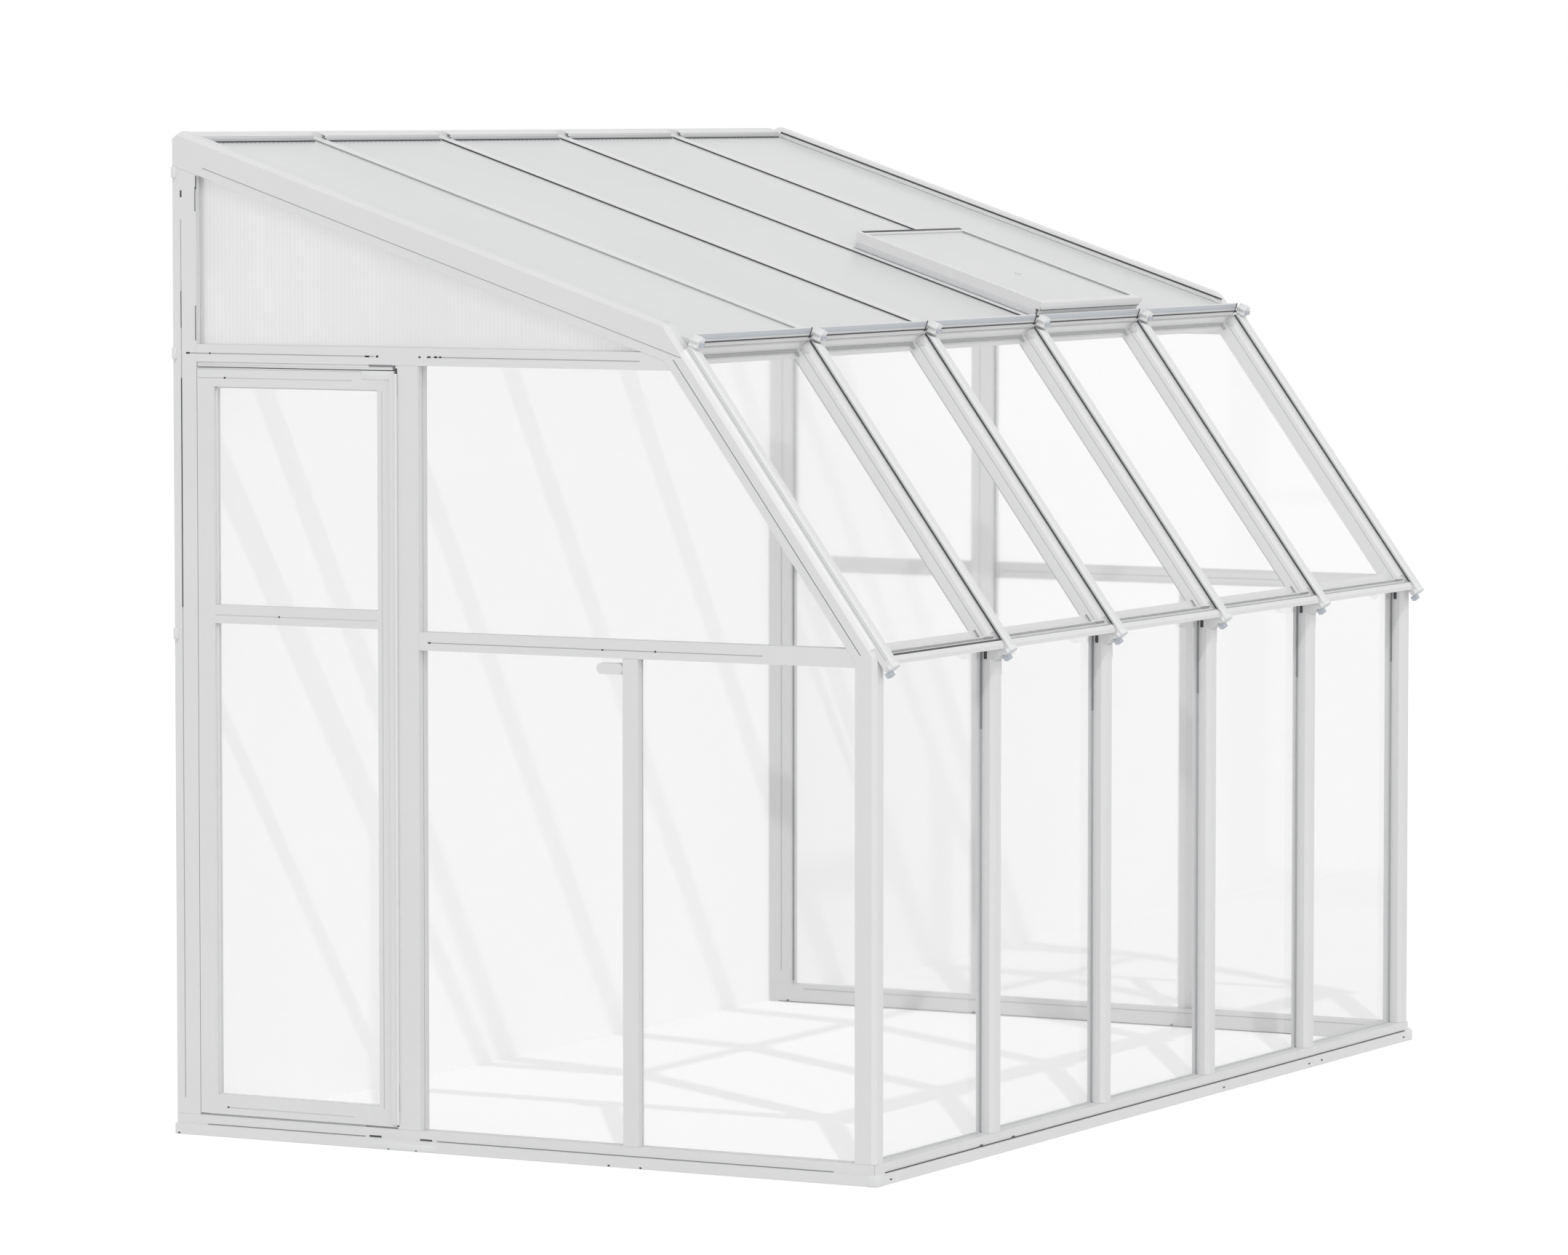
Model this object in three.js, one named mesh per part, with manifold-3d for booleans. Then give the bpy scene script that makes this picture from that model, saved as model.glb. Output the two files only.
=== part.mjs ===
import * as THREE from 'three';
import { mergeVertices } from 'three/addons/utils/BufferGeometryUtils.js';
import Module from 'manifold-3d';

const wasm = await Module();
wasm.setup();

// A lean-to greenhouse against a house wall. X runs along the wall, Y points at the wall, Z is up.
// The wall plane is y = 0 while the pieces are made, and the whole group is centred at the end.
// All lengths are in millimetres.

// Layout of the frame
const bayPitch = 615;
const bayCount = 5;
const frameDepth = 1942;
const windowRun = 510;
const kneeHeight = 1926;
const windowPitch = THREE.MathUtils.degToRad(53.8);
const roofPitch = THREE.MathUtils.degToRad(18.3);

// Glazing and the grooves that hold it
const paneThickness = 4;
const twinWallThickness = 8;
const paneSet = 17;
const windowSet = 62;
const bite = 8;
const fit = 0.3;

// Ribs: front posts, window rafters and roof rafters
const ribWidth = 44;
const ribDepth = 56;
const ribSet = 6;
const noseBevel = 7;
const noseSlope = 12;
const coverWidth = 32;
const coverRise = 24;
const coverBevel = 6;
const coverFootReach = 61;
const coverHeadGap = 10;
const coverProud = 2;
const noseLap = 24;
const roofRibDepth = 68;
const panelCover = 4;
const eaveOverhang = 47;
const rafterNoseDepth = 20;
const vergeRise = 19;
const kneeBend = 70;
const eaveBend = 60;
const bendSteps = 7;
const vergeCornerRun = 24;
const vergeCornerDrop = 38;

// Base rails
const baseHeight = 50;
const baseStep = 26;
const baseLip = 8;
const baseSideLip = 10;

// Gable members
const gableSet = 22;
const wallPostWidth = 67;
const doorwayWidth = 568;
const bayPostWidth = 63;
const mullionWidth = 42;
const mullionShift = 9;
const mullionLip = 4;
const headDrop = 23;
const headRailHeight = 43;
const midRailDrop = 4;
const midRailHeight = 44;

// Eave rail
const eaveDrop = 8;
const eaveSetback = 5;
const eaveFlange = 30;
const eaveLip = 5;
const lipDepth = 30;
const seatStart = 23;
const seatDrop = 2;
const noseStart = 31;
const noseLength = 12;
const noseRise = 4;
const noseFoot = 5;

// Knee rail, with the channel that closes the roof's front edge
const kneeFlange = 18;
const kneeLip = 7;
const kneeFace = 8;
const kneeWeb = 53;
const kneeSeat = 24;
const channelRise = 14;
const channelFace = 19;
const channelWall = 6;

// Ridge rail on the wall
const ridgePlate = 8;
const ridgeLip = 14;
const ridgeRise = 10;
const ridgeKeeper = 30;

// Door leaf, hung on a long bead on the bay post
const doorThickness = 30;
const stileWidth = 48;
const doorTopRail = 46;
const doorBottomRail = 48;
const doorMidRail = 45;
const doorMidRise = 47;
const doorSideGap = 4;
const doorHeadGap = 14;
const doorSillGap = 5;
const hingeRadius = 4.5;
const hingeSegments = 12;
const hingeLap = 2;
const hingeEndGap = 6;
const hingeLeaf = 10;
const hingePlate = 4;

// Roof vent
const ventBay = 4;
const ventFront = 34;
const ventLength = 565;
const ventSideLap = 10;
const ventHeight = 42;
const ventWall = 20;
const ventLip = 20;
const ventRecess = 12;
const ventCover = 4;
const ventRest = 1;
const ventHingeGap = 1;
const ventHingeRadius = 5;
const ventCurbReach = 31;
const headerLength = 46;
const headerDepth = 44;

// Stay bar under the vent
const stayLength = 300;
const stayWidth = 20;
const stayThickness = 8;
const stayReach = 44;
const stayDrop = 30;
const stayBoss = 14;
const stayEarWidth = 8;

// Hold-back catch on the door-end mullion
const catchHeight = 27;
const catchLength = 72;
const catchThickness = 12;
const catchPlate = 5;
const catchGap = 1;
const catchDrop = 12;
const catchSteps = 6;

const sliver = 0.02;
const grid = 0.01;
const beadStandoff = hingeRadius + fit;
const half = 0.5;
const overallLength = bayPitch * bayCount + ribWidth + 2 * baseSideLip;
const reach = 2 * overallLength;
const frameEnd = (bayPitch * bayCount + ribWidth) * half;
const frameInner = frameEnd - ribWidth;
const gablePane = frameEnd - gableSet;
const frontInner = frameDepth - ribDepth;
const kneeDepth = frontInner - windowRun;
const doorwayHeight = kneeHeight - headDrop;

const framePlastic = { color: '#dedede', roughness: 0.45, metalness: 0 };
const clearPane = { color: '#f2f4f4', roughness: 0.1, metalness: 0 };
const twinWall = { color: '#dcdddd', roughness: 0.3, metalness: 0 };
const lightMetal = { color: '#c9ccd0', roughness: 0.35, metalness: 0.9 };

// A frame is an inner corner line of the ribs: s runs up along it, n points outwards.
function makeFrame(y, z, pitch) {
  return { y, z, pitch, sy: Math.cos(pitch), sz: Math.sin(pitch), ny: -Math.sin(pitch), nz: Math.cos(pitch) };
}

function at(frame, s, n) {
  return [frame.y + frame.sy * s + frame.ny * n, frame.z + frame.sz * s + frame.nz * n];
}

function along(frame, point) {
  return (point[0] - frame.y) * frame.sy + (point[1] - frame.z) * frame.sz;
}

// Where the line n = a of one frame meets the line n = b of another
function meet(first, a, second, b) {
  const p = at(first, 0, a);
  const q = at(second, 0, b);
  const cross = first.sy * second.sz - first.sz * second.sy;
  const step = ((q[0] - p[0]) * second.sz - (q[1] - p[1]) * second.sy) / cross;
  return [p[0] + first.sy * step, p[1] + first.sz * step];
}

// The height of the line n of a frame at a given y
function heightAt(frame, n, y) {
  const p = at(frame, 0, n);
  return p[1] + (y - p[0]) * Math.tan(frame.pitch);
}

const front = makeFrame(-frontInner, 0, Math.PI * half);
const slope = makeFrame(-kneeDepth, kneeHeight, windowPitch);
const roof = makeFrame(-kneeDepth, kneeHeight, roofPitch);
const eaveInner = meet(front, 0, slope, 0);
const eaveStart = along(slope, eaveInner);
const eaveSoffit = eaveInner[1] - eaveDrop;
const midRailSoffit = eaveSoffit - midRailDrop;
const doorMidSoffit = midRailSoffit + doorMidRise;
const eaveFront = -(frameDepth - eaveSetback);
const panelTop = roofRibDepth - panelCover;
const panelUnder = panelTop - twinWallThickness;
const coverTop = ribDepth + coverRise;
const coverFoot = eaveStart - coverFootReach;
const windowTop = windowSet + paneThickness;
const noseTop = windowTop + noseRise;
const noseEnd = at(slope, eaveStart - noseStart - noseLength, noseTop);

// Solids

function solid(geometry) {
  const clean = geometry.index ? geometry.toNonIndexed() : geometry.clone();
  clean.deleteAttribute('normal');
  clean.deleteAttribute('uv');
  const merged = mergeVertices(clean, 1e-4);
  const vertProperties = new Float32Array(merged.attributes.position.array);
  const triVerts = new Uint32Array(merged.index.array);
  return new wasm.Manifold(new wasm.Mesh({ numProp: 3, vertProperties, triVerts }));
}

function outline(points) {
  const shape = new THREE.Shape(points.map((p) => new THREE.Vector2(p[0], p[1])));
  shape.autoClose = true;
  return shape;
}

function extrude(shape, depth) {
  return new THREE.ExtrudeGeometry(shape, { depth, bevelEnabled: false });
}

function pose(geometry, xAxis, yAxis, zAxis, origin) {
  const matrix = new THREE.Matrix4().makeBasis(xAxis, yAxis, zAxis).setPosition(origin);
  return geometry.applyMatrix4(matrix);
}

const unitX = new THREE.Vector3(1, 0, 0);
const unitY = new THREE.Vector3(0, 1, 0);
const unitZ = new THREE.Vector3(0, 0, 1);

// An outline in (y, z) pushed along X
function sideShape(points, x0, x1) {
  const low = Math.min(x0, x1);
  const high = Math.max(x0, x1);
  const shape = points instanceof THREE.Shape ? points : outline(points);
  return solid(pose(extrude(shape, high - low), unitY, unitZ, unitX, new THREE.Vector3(low, 0, 0)));
}

// An outline in (x, y) pushed up along Z
function planShape(points, z0, z1) {
  return solid(pose(extrude(outline(points), z1 - z0), unitX, unitY, unitZ, new THREE.Vector3(0, 0, z0)));
}

// A section in (x, n) pushed along the s line of a frame
function rib(frame, section, x, s0, s1) {
  const up = new THREE.Vector3(0, frame.ny, frame.nz);
  const back = new THREE.Vector3(0, -frame.sy, -frame.sz);
  const top = at(frame, s1, 0);
  const origin = new THREE.Vector3(x, top[0], top[1]);
  return solid(pose(extrude(outline(section), s1 - s0), unitX, up, back, origin));
}

function rect(a0, a1, b0, b1) {
  return [[a0, b0], [a1, b0], [a1, b1], [a0, b1]];
}

function block(frame, x0, x1, s0, s1, n0, n1) {
  return rib(frame, rect(x0, x1, n0, n1), 0, s0, s1);
}

function box(x0, x1, y0, y1, z0, z1) {
  return planShape(rect(x0, x1, y0, y1), z0, z1);
}

// Everything on the inner side of the line n of a frame, for one stretch of X
function inside(frame, n, x0, x1) {
  return block(frame, x0, x1, -reach, reach, -reach, n);
}

function outside(frame, n, x0, x1) {
  return block(frame, x0, x1, -reach, reach, n, reach);
}

function ribSection(depth, inner = 0) {
  const side = ribWidth * half;
  return [
    [-side, inner], [side, inner], [side, depth - noseSlope], [side - noseBevel, depth],
    [noseBevel - side, depth], [-side, depth - noseSlope],
  ];
}

function coverSection() {
  const side = coverWidth * half;
  return [
    [-side, ribDepth - coverBevel], [side, ribDepth - coverBevel], [side, coverTop - coverBevel],
    [side - coverBevel, coverTop], [coverBevel - side, coverTop], [-side, coverTop - coverBevel],
  ];
}

// A convex outline moved outwards by a distance, with sharp tips cut short
function grow(points, distance) {
  const count = points.length;
  let area = 0;
  points.forEach((p, i) => {
    const q = points[(i + 1) % count];
    area += p[0] * q[1] - q[0] * p[1];
  });
  const turn = Math.sign(area);
  const grown = [];
  for (let i = 0; i < count; i += 1) {
    const before = points[(i + count - 1) % count];
    const here = points[i];
    const after = points[(i + 1) % count];
    const a = new THREE.Vector2(here[0] - before[0], here[1] - before[1]).normalize();
    const b = new THREE.Vector2(after[0] - here[0], after[1] - here[1]).normalize();
    const na = new THREE.Vector2(a.y, -a.x).multiplyScalar(turn * distance);
    const nb = new THREE.Vector2(b.y, -b.x).multiplyScalar(turn * distance);
    const cross = a.x * b.y - a.y * b.x;
    const dot = a.x * b.x + a.y * b.y;
    if (dot < -half) {
      grown.push([here[0] + na.x + a.x * distance, here[1] + na.y + a.y * distance]);
      grown.push([here[0] + nb.x - b.x * distance, here[1] + nb.y - b.y * distance]);
    } else {
      const step = ((nb.x - na.x) * b.y - (nb.y - na.y) * b.x) / cross;
      grown.push([here[0] + na.x + a.x * step, here[1] + na.y + a.y * step]);
    }
  }
  return grown;
}

// An arc that rounds the corner of a polyline, as points
function bend(before, corner, after, radius) {
  const a = new THREE.Vector2(before[0] - corner[0], before[1] - corner[1]).normalize();
  const b = new THREE.Vector2(after[0] - corner[0], after[1] - corner[1]).normalize();
  const angle = Math.acos(a.dot(b));
  const run = radius / Math.tan(angle * half);
  const middle = a.clone().add(b).normalize().multiplyScalar(radius / Math.sin(angle * half));
  const centre = [corner[0] + middle.x, corner[1] + middle.y];
  const start = [corner[0] + a.x * run - centre[0], corner[1] + a.y * run - centre[1]];
  const sweep = (Math.PI - angle) * Math.sign(a.y * b.x - a.x * b.y);
  return Array.from({ length: bendSteps + 1 }, (unused, i) => {
    const turn = (sweep * i) / bendSteps;
    return [
      centre[0] + start[0] * Math.cos(turn) - start[1] * Math.sin(turn),
      centre[1] + start[0] * Math.sin(turn) + start[1] * Math.cos(turn),
    ];
  });
}

const greenhouse = new THREE.Group();
const slots = [];

function cutSlots(body) {
  const limits = body.boundingBox();
  return slots.reduce((rest, slot) => {
    const apart = [0, 1, 2].some((k) => slot.box.min[k] > limits.max[k] || slot.box.max[k] < limits.min[k]);
    return apart ? rest : rest.subtract(slot.body);
  }, body);
}

// The faces of a body, with every corner put on a fine grid
function faces(body) {
  const mesh = body.simplify(sliver).getMesh();
  const geometry = new THREE.BufferGeometry();
  const positions = new Float32Array(mesh.numVert * 3);
  for (let i = 0; i < mesh.numVert; i += 1) {
    for (let k = 0; k < 3; k += 1) {
      positions[3 * i + k] = Math.round(mesh.vertProperties[mesh.numProp * i + k] / grid) * grid;
    }
  }
  geometry.setAttribute('position', new THREE.BufferAttribute(positions, 3));
  geometry.setIndex(new THREE.BufferAttribute(new Uint32Array(mesh.triVerts), 1));
  return geometry;
}

function add(name, body, look) {
  const geometry = faces(solid(faces(body)));
  geometry.computeVertexNormals();
  const piece = new THREE.Mesh(geometry, new THREE.MeshStandardMaterial(look));
  piece.name = name;
  greenhouse.add(piece);
}

function addFramed(name, body) {
  add(name, cutSlots(body), framePlastic);
}

// A pane and the slot that the members around it are cut with
function glaze(name, make, look) {
  add(name, make(0), look);
  const body = make(fit);
  slots.push({ body, box: body.boundingBox() });
}

const ribAt = (index) => (index - 1 - bayCount * half) * bayPitch;
const ribSide = ribWidth * half;
const ribNumbers = Array.from({ length: bayCount - 1 }, (unused, i) => i + 2);
const bays = Array.from({ length: bayCount }, (unused, i) => i + 1);

// Panes of the front wall, the slanted windows and the roof

bays.forEach((bay) => {
  const x0 = ribAt(bay) + ribSide - bite;
  const x1 = ribAt(bay + 1) - ribSide + bite;
  glaze(`front_pane_${bay}`, (gap) => block(
    front, x0 - gap, x1 + gap, baseHeight - bite - gap, eaveSoffit + bite + gap,
    paneSet - gap, paneSet + paneThickness + gap,
  ), clearPane);
  const w0 = ribAt(bay) + coverWidth * half - bite;
  const w1 = ribAt(bay + 1) - coverWidth * half + bite;
  glaze(`window_pane_${bay}`, (gap) => block(
    slope, w0 - gap, w1 + gap, eaveStart - noseStart - bite - gap, bite - kneeFace + gap,
    windowSet - gap, windowTop + gap,
  ), clearPane);
});

const ventBack = ventLength - ventFront;
const headerEnd = ventBack + headerLength * half;
const headerStart = headerEnd - headerLength;
const panelFront = channelWall - eaveOverhang + 2 * fit;
const ridgeStop = -ridgePlate - 2 * fit;
const ridgeFoot = along(roof, [ridgeStop, heightAt(roof, panelUnder, ridgeStop)]);

bays.forEach((bay) => {
  const x0 = ribAt(bay) + ribSide - bite;
  const x1 = ribAt(bay + 1) - ribSide + bite;
  const start = bay === ventBay ? headerEnd - bite : panelFront;
  glaze(`roof_panel_${bay}`, (gap) => block(
    roof, x0 - gap, x1 + gap, start - gap, ridgeFoot + gap, panelUnder - gap, panelTop + gap,
  ), twinWall);
});

// Gables

const gableInner = -frontInner;
const bayPostBack = -(wallPostWidth + doorwayWidth);
const bayPostFront = bayPostBack - bayPostWidth;
const mullionMiddle = (bayPostFront + gableInner) * half + mullionShift;
const mullionBack = mullionMiddle + mullionWidth * half;
const mullionFront = mullionMiddle - mullionWidth * half;
const headRailTop = doorwayHeight + headRailHeight;
const midRailTop = midRailSoffit + midRailHeight;
const slopeAt = (z) => slope.y + (z - slope.z) / Math.tan(windowPitch);
const roofAt = (z) => roof.y + (z - roof.z) / Math.tan(roofPitch);

const gableRegion = [
  [-wallPostWidth, baseHeight], [-wallPostWidth, heightAt(roof, 0, -wallPostWidth)],
  [slope.y, slope.z], eaveInner, [gableInner, baseHeight],
];
const triangle = [
  [-wallPostWidth, headRailTop], [-wallPostWidth, heightAt(roof, 0, -wallPostWidth)],
  [roofAt(headRailTop), headRailTop],
];
const upperLight = [
  [bayPostFront, midRailTop], [bayPostFront, doorwayHeight],
  [slopeAt(doorwayHeight), doorwayHeight], [slopeAt(midRailTop), midRailTop],
];

function gablePaneSolid(end, points, thickness) {
  return (gap) => sideShape(
    grow(points, bite + gap),
    end * (gablePane - thickness * half - gap), end * (gablePane + thickness * half + gap),
  );
}

function glazeGable(end, name, points, thickness, look) {
  glaze(name, gablePaneSolid(end, points, thickness), look);
}

const doorEnd = -1;
const farEnd = 1;
glazeGable(doorEnd, 'door_end_gable_panel', triangle, twinWallThickness, twinWall);
glazeGable(doorEnd, 'door_end_upper_pane', upperLight, paneThickness, clearPane);
glazeGable(doorEnd, 'door_end_lower_pane_1',
  rect(mullionBack, bayPostFront, baseHeight, midRailSoffit), paneThickness, clearPane);
glazeGable(doorEnd, 'door_end_lower_pane_2',
  rect(gableInner, mullionFront, baseHeight, midRailSoffit), paneThickness, clearPane);
glazeGable(farEnd, 'far_end_gable_panel', triangle, twinWallThickness, twinWall);
glazeGable(farEnd, 'far_end_upper_pane', upperLight, paneThickness, clearPane);
glazeGable(farEnd, 'far_end_lower_pane',
  rect(gableInner, bayPostFront, baseHeight, midRailSoffit), paneThickness, clearPane);
glazeGable(farEnd, 'far_end_wall_pane',
  rect(bayPostBack, -wallPostWidth, baseHeight, doorwayHeight), paneThickness, clearPane);

// Roof vent sash with its pane, lying on the two rafters of its bay

const ventX0 = ribAt(ventBay) + ribSide - ventSideLap;
const ventX1 = ribAt(ventBay + 1) - ribSide + ventSideLap;
const ventFoot = roofRibDepth + ventRest;
const ventTop = ventFoot + ventHeight;
const ventPaneTop = ventTop - ventCover;
const hingeN = roofRibDepth + fit + ventHingeRadius;
const hingeS = ventBack + ventHingeRadius + ventHingeGap;
const stayPivotS = stayReach - ventFront + ventWall;
const stayPivotN = ventTop - stayDrop;
const ventMiddle = (ventX0 + ventX1) * half;

function ventPaneSolid(gap) {
  return block(
    roof, ventX0 + ventWall - bite - gap, ventX1 - ventWall + bite + gap,
    ventWall - ventFront - bite - gap, ventBack - ventWall + bite + gap,
    ventPaneTop - twinWallThickness - gap, ventPaneTop + gap,
  );
}

function roundBar(frame, x0, x1, s, n, radius) {
  const bar = new THREE.CylinderGeometry(radius, radius, x1 - x0, hingeSegments);
  const place = at(frame, s, n);
  bar.rotateZ(Math.PI * half);
  bar.translate((x0 + x1) * half, place[0], place[1]);
  return solid(bar);
}

const ventEarX = ventMiddle + stayWidth * half + fit;
const ventSash = block(roof, ventX0, ventX1, -ventFront, ventBack, ventFoot, ventTop)
  .subtract(block(
    roof, ventX0 + ventWall, ventX1 - ventWall, ventWall - ventFront, ventBack - ventWall,
    ventFoot - ventRest, ventTop + ventRest,
  ))
  .subtract(ventPaneSolid(fit))
  .subtract(block(
    roof, ventX0 - ventLip, ventX1 + ventLip, -ventFront - ventLip, ventRecess - ventFront,
    ventFoot - ventLip, ventTop - ventLip,
  ))
  .add(roundBar(roof, ventX0 + ventWall, ventX1 - ventWall, hingeS, hingeN, ventHingeRadius))
  .add(block(
    roof, ventX0 + ventWall, ventX1 - ventWall, ventBack - ventHingeGap, hingeS,
    hingeN - hingePlate * half, hingeN + hingePlate * half,
  ))
  .add(block(
    roof, ventEarX, ventEarX + stayEarWidth, ventWall - ventFront - ventHingeGap,
    stayPivotS + stayBoss * half, stayPivotN - stayBoss * half, stayPivotN + stayBoss * half,
  ));
add('vent_sash', ventSash, framePlastic);
add('vent_pane', ventPaneSolid(0), twinWall);

const stayBar = block(
  roof, ventMiddle - stayWidth * half, ventMiddle + stayWidth * half,
  stayPivotS, stayPivotS + stayLength,
  stayPivotN - stayThickness * half, stayPivotN + stayThickness * half,
).add(roundBar(
  roof, ventMiddle - stayWidth * half, ventMiddle + stayWidth * half,
  stayPivotS, stayPivotN, stayBoss * half,
));
add('vent_stay', stayBar, lightMetal);

const clearX0 = ribAt(ventBay) + ribSide + fit;
const clearX1 = ribAt(ventBay + 1) - ribSide - fit;
addFramed('vent_header', block(
  roof, clearX0, clearX1, headerStart, headerEnd, roofRibDepth - headerDepth, roofRibDepth,
));

// Base rails, mitred at the two front corners

const baseEnd = frameEnd + baseSideLip;
const baseFront = -(frameDepth + baseLip);
const frontPlan = [
  [-baseEnd + fit, baseFront], [baseEnd - fit, baseFront],
  [frameInner - fit, gableInner], [fit - frameInner, gableInner],
];
const frontBase = planShape(frontPlan, 0, baseHeight)
  .subtract(box(-reach, reach, baseFront - baseLip, baseFront + baseLip, baseStep, reach));
addFramed('base_rail_front', frontBase);

function endBase(end) {
  const plan = [
    [end * baseEnd, 0], [end * frameInner, 0], [end * frameInner, gableInner], [end * baseEnd, baseFront],
  ];
  const lipEdge = [end * frameEnd, end * (baseEnd + baseSideLip)].sort((a, b) => a - b);
  return planShape(end > 0 ? plan : plan.reverse(), 0, baseHeight)
    .subtract(box(lipEdge[0], lipEdge[1], -reach, reach, baseStep, reach));
}

addFramed('base_rail_door_end', endBase(doorEnd));
addFramed('base_rail_far_end', endBase(farEnd));

// Front posts of the inner ribs: each stands on the base rail and ends below the eave rail

const footHeight = baseHeight + fit;
ribNumbers.forEach((index) => {
  const x = ribAt(index);
  addFramed(`front_post_${index}`, rib(front, ribSection(ribDepth, ribSet), x, footHeight, eaveSoffit - fit)
    .intersect(inside(slope, noseLap - fit, -reach, reach)));
});

// Window rafters: the inner part spans from eave rail to knee rail, the nose laps over both

const eaveRoom = block(
  slope, -reach, reach, -reach, eaveStart + eaveFlange + fit, -reach, noseLap,
);
const kneeRoom = block(slope, -reach, reach, -kneeFlange - fit, reach, -reach, noseLap);
ribNumbers.forEach((index) => {
  const x = ribAt(index);
  const bar = rib(slope, ribSection(ribDepth, ribSet), x, coverFoot + coverProud, reach)
    .add(rib(slope, coverSection(), x, coverFoot, reach + coverProud))
    .intersect(inside(roof, roofRibDepth - rafterNoseDepth - fit, -reach, reach));
  addFramed(`window_rafter_${index}`, bar.subtract(eaveRoom).subtract(kneeRoom));
});

// Roof rafters: the lower part stops behind the window rafter's nose, the top runs out over it

ribNumbers.forEach((index) => {
  const x = ribAt(index);
  const noseRoom = outside(slope, noseLap - fit, -reach, reach)
    .intersect(inside(roof, roofRibDepth - rafterNoseDepth, -reach, reach));
  const wallCut = box(-reach, reach, -ridgePlate - fit, reach, -reach, reach);
  const section = rect(-ribSide, ribSide, 0, roofRibDepth);
  const seatRoom = block(roof, -reach, reach, -reach, kneeWeb - eaveOverhang + fit, -reach, kneeSeat);
  addFramed(`roof_rafter_${index}`, rib(roof, section, x, -eaveOverhang, reach)
    .subtract(wallCut)
    .subtract(seatRoom)
    .subtract(noseRoom));
});

// End frames: one bent bar from the base over eave and knee to the wall

const vergeTop = roofRibDepth + vergeRise;
const vergeEnd = [-vergeCornerRun, heightAt(roof, vergeTop + fit, -vergeCornerRun)];
const vergeDrop = [0, vergeEnd[1] - vergeCornerDrop * half];
const kneeRound = meet(slope, ribDepth + fit, roof, vergeTop + fit);
const eaveRound = meet(front, ribDepth + fit, slope, ribDepth + fit);
const innerY = gableInner + ribDepth;
const endOutline = [
  [0, eaveSoffit], vergeDrop, vergeEnd,
  ...bend(vergeEnd, kneeRound, eaveRound, kneeBend),
  ...bend(kneeRound, eaveRound, [eaveRound[0], 0], eaveBend),
  [eaveRound[0], 0], [innerY, 0], [innerY, eaveSoffit],
];

// A bar that runs through a row of matching sections, closed at both ends
function loft(rings) {
  const count = rings[0].length;
  const corners = [];
  const quad = (a, b, c, d) => corners.push(...c, ...b, ...a, ...d, ...c, ...a);
  rings.slice(1).forEach((ring, level) => {
    ring.forEach((corner, i) => {
      const next = (i + 1) % count;
      quad(rings[level][i], rings[level][next], ring[next], corner);
    });
  });
  const last = rings[rings.length - 1];
  for (let i = 1; i < count - 1; i += 1) {
    corners.push(...rings[0][0], ...rings[0][i], ...rings[0][i + 1], ...last[0], ...last[i + 1], ...last[i]);
  }
  const geometry = new THREE.BufferGeometry();
  geometry.setAttribute('position', new THREE.Float32BufferAttribute(corners, 3));
  return solid(geometry);
}

function endFrame(end) {
  const x = end * (frameEnd - ribSide);
  const low = ribSection(ribDepth);
  const high = ribSection(vergeTop);
  const ring = (place) => low.map((corner, i) => [x + corner[0], ...place(corner[1], high[i][1])]);
  const bar = loft([
    ring((n) => at(front, footHeight, n)),
    ring((n) => meet(front, n, slope, n)),
    ring((n, roofN) => meet(slope, n, roof, roofN)),
    ring((n, roofN) => [ribDepth, heightAt(roof, roofN, ribDepth)]),
  ]);
  const cover = rib(slope, coverSection(), x, coverFoot, -coverHeadGap);
  return bar.intersect(sideShape(endOutline, -reach, reach)).add(cover);
}

addFramed('end_frame_door_end', endFrame(doorEnd));
addFramed('end_frame_far_end', endFrame(farEnd));

// Rails that run the length of the greenhouse between the end frames

const railEnd = frameInner - fit;

function notchRibs(rail, makeNotch) {
  return ribNumbers.reduce((rest, index) => {
    const x = ribAt(index);
    return rest.subtract(makeNotch(x - ribSide - fit, x + ribSide + fit));
  }, rail);
}

const eaveOutline = [
  [gableInner, eaveSoffit], [gableInner, eaveInner[1]],
  at(slope, eaveStart + eaveFlange, 0), at(slope, eaveStart + eaveFlange, paneSet),
  at(slope, eaveStart + eaveLip, paneSet), at(slope, eaveStart + eaveLip, lipDepth),
  at(slope, eaveStart - seatStart, windowSet - seatDrop),
  at(slope, eaveStart - noseStart, windowSet + paneThickness * half), at(slope, eaveStart - noseStart, noseTop),
  noseEnd, [noseEnd[0], eaveSoffit + noseFoot], [eaveFront, eaveSoffit],
];
addFramed('eave_rail', notchRibs(
  sideShape(eaveOutline, -railEnd, railEnd),
  (x0, x1) => outside(slope, noseLap - fit, x0, x1),
));

const channelTop = roofRibDepth + channelRise;
const kneeOutline = [
  at(slope, -kneeFlange, 0), [slope.y, slope.z],
  at(roof, kneeWeb - eaveOverhang, 0), at(roof, kneeWeb - eaveOverhang, panelUnder - 2 * fit),
  at(roof, channelWall - eaveOverhang, panelUnder - 2 * fit), at(roof, channelWall - eaveOverhang, channelTop),
  at(roof, -eaveOverhang, channelTop), at(roof, -eaveOverhang, channelTop - channelFace),
  at(slope, -kneeFace, windowTop + seatDrop), at(slope, -kneeLip, lipDepth),
  at(slope, -kneeLip, paneSet), at(slope, -kneeFlange, paneSet),
];
const kneeRail = notchRibs(
  sideShape(kneeOutline, -railEnd, railEnd),
  (x0, x1) => outside(roof, kneeSeat - fit, x0, x1).add(outside(slope, noseLap - fit, x0, x1)),
).add(block(
  roof, clearX0, clearX1, channelWall * half - eaveOverhang, ventCurbReach - eaveOverhang,
  panelUnder - channelWall, roofRibDepth,
));
addFramed('knee_rail', kneeRail);

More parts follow.
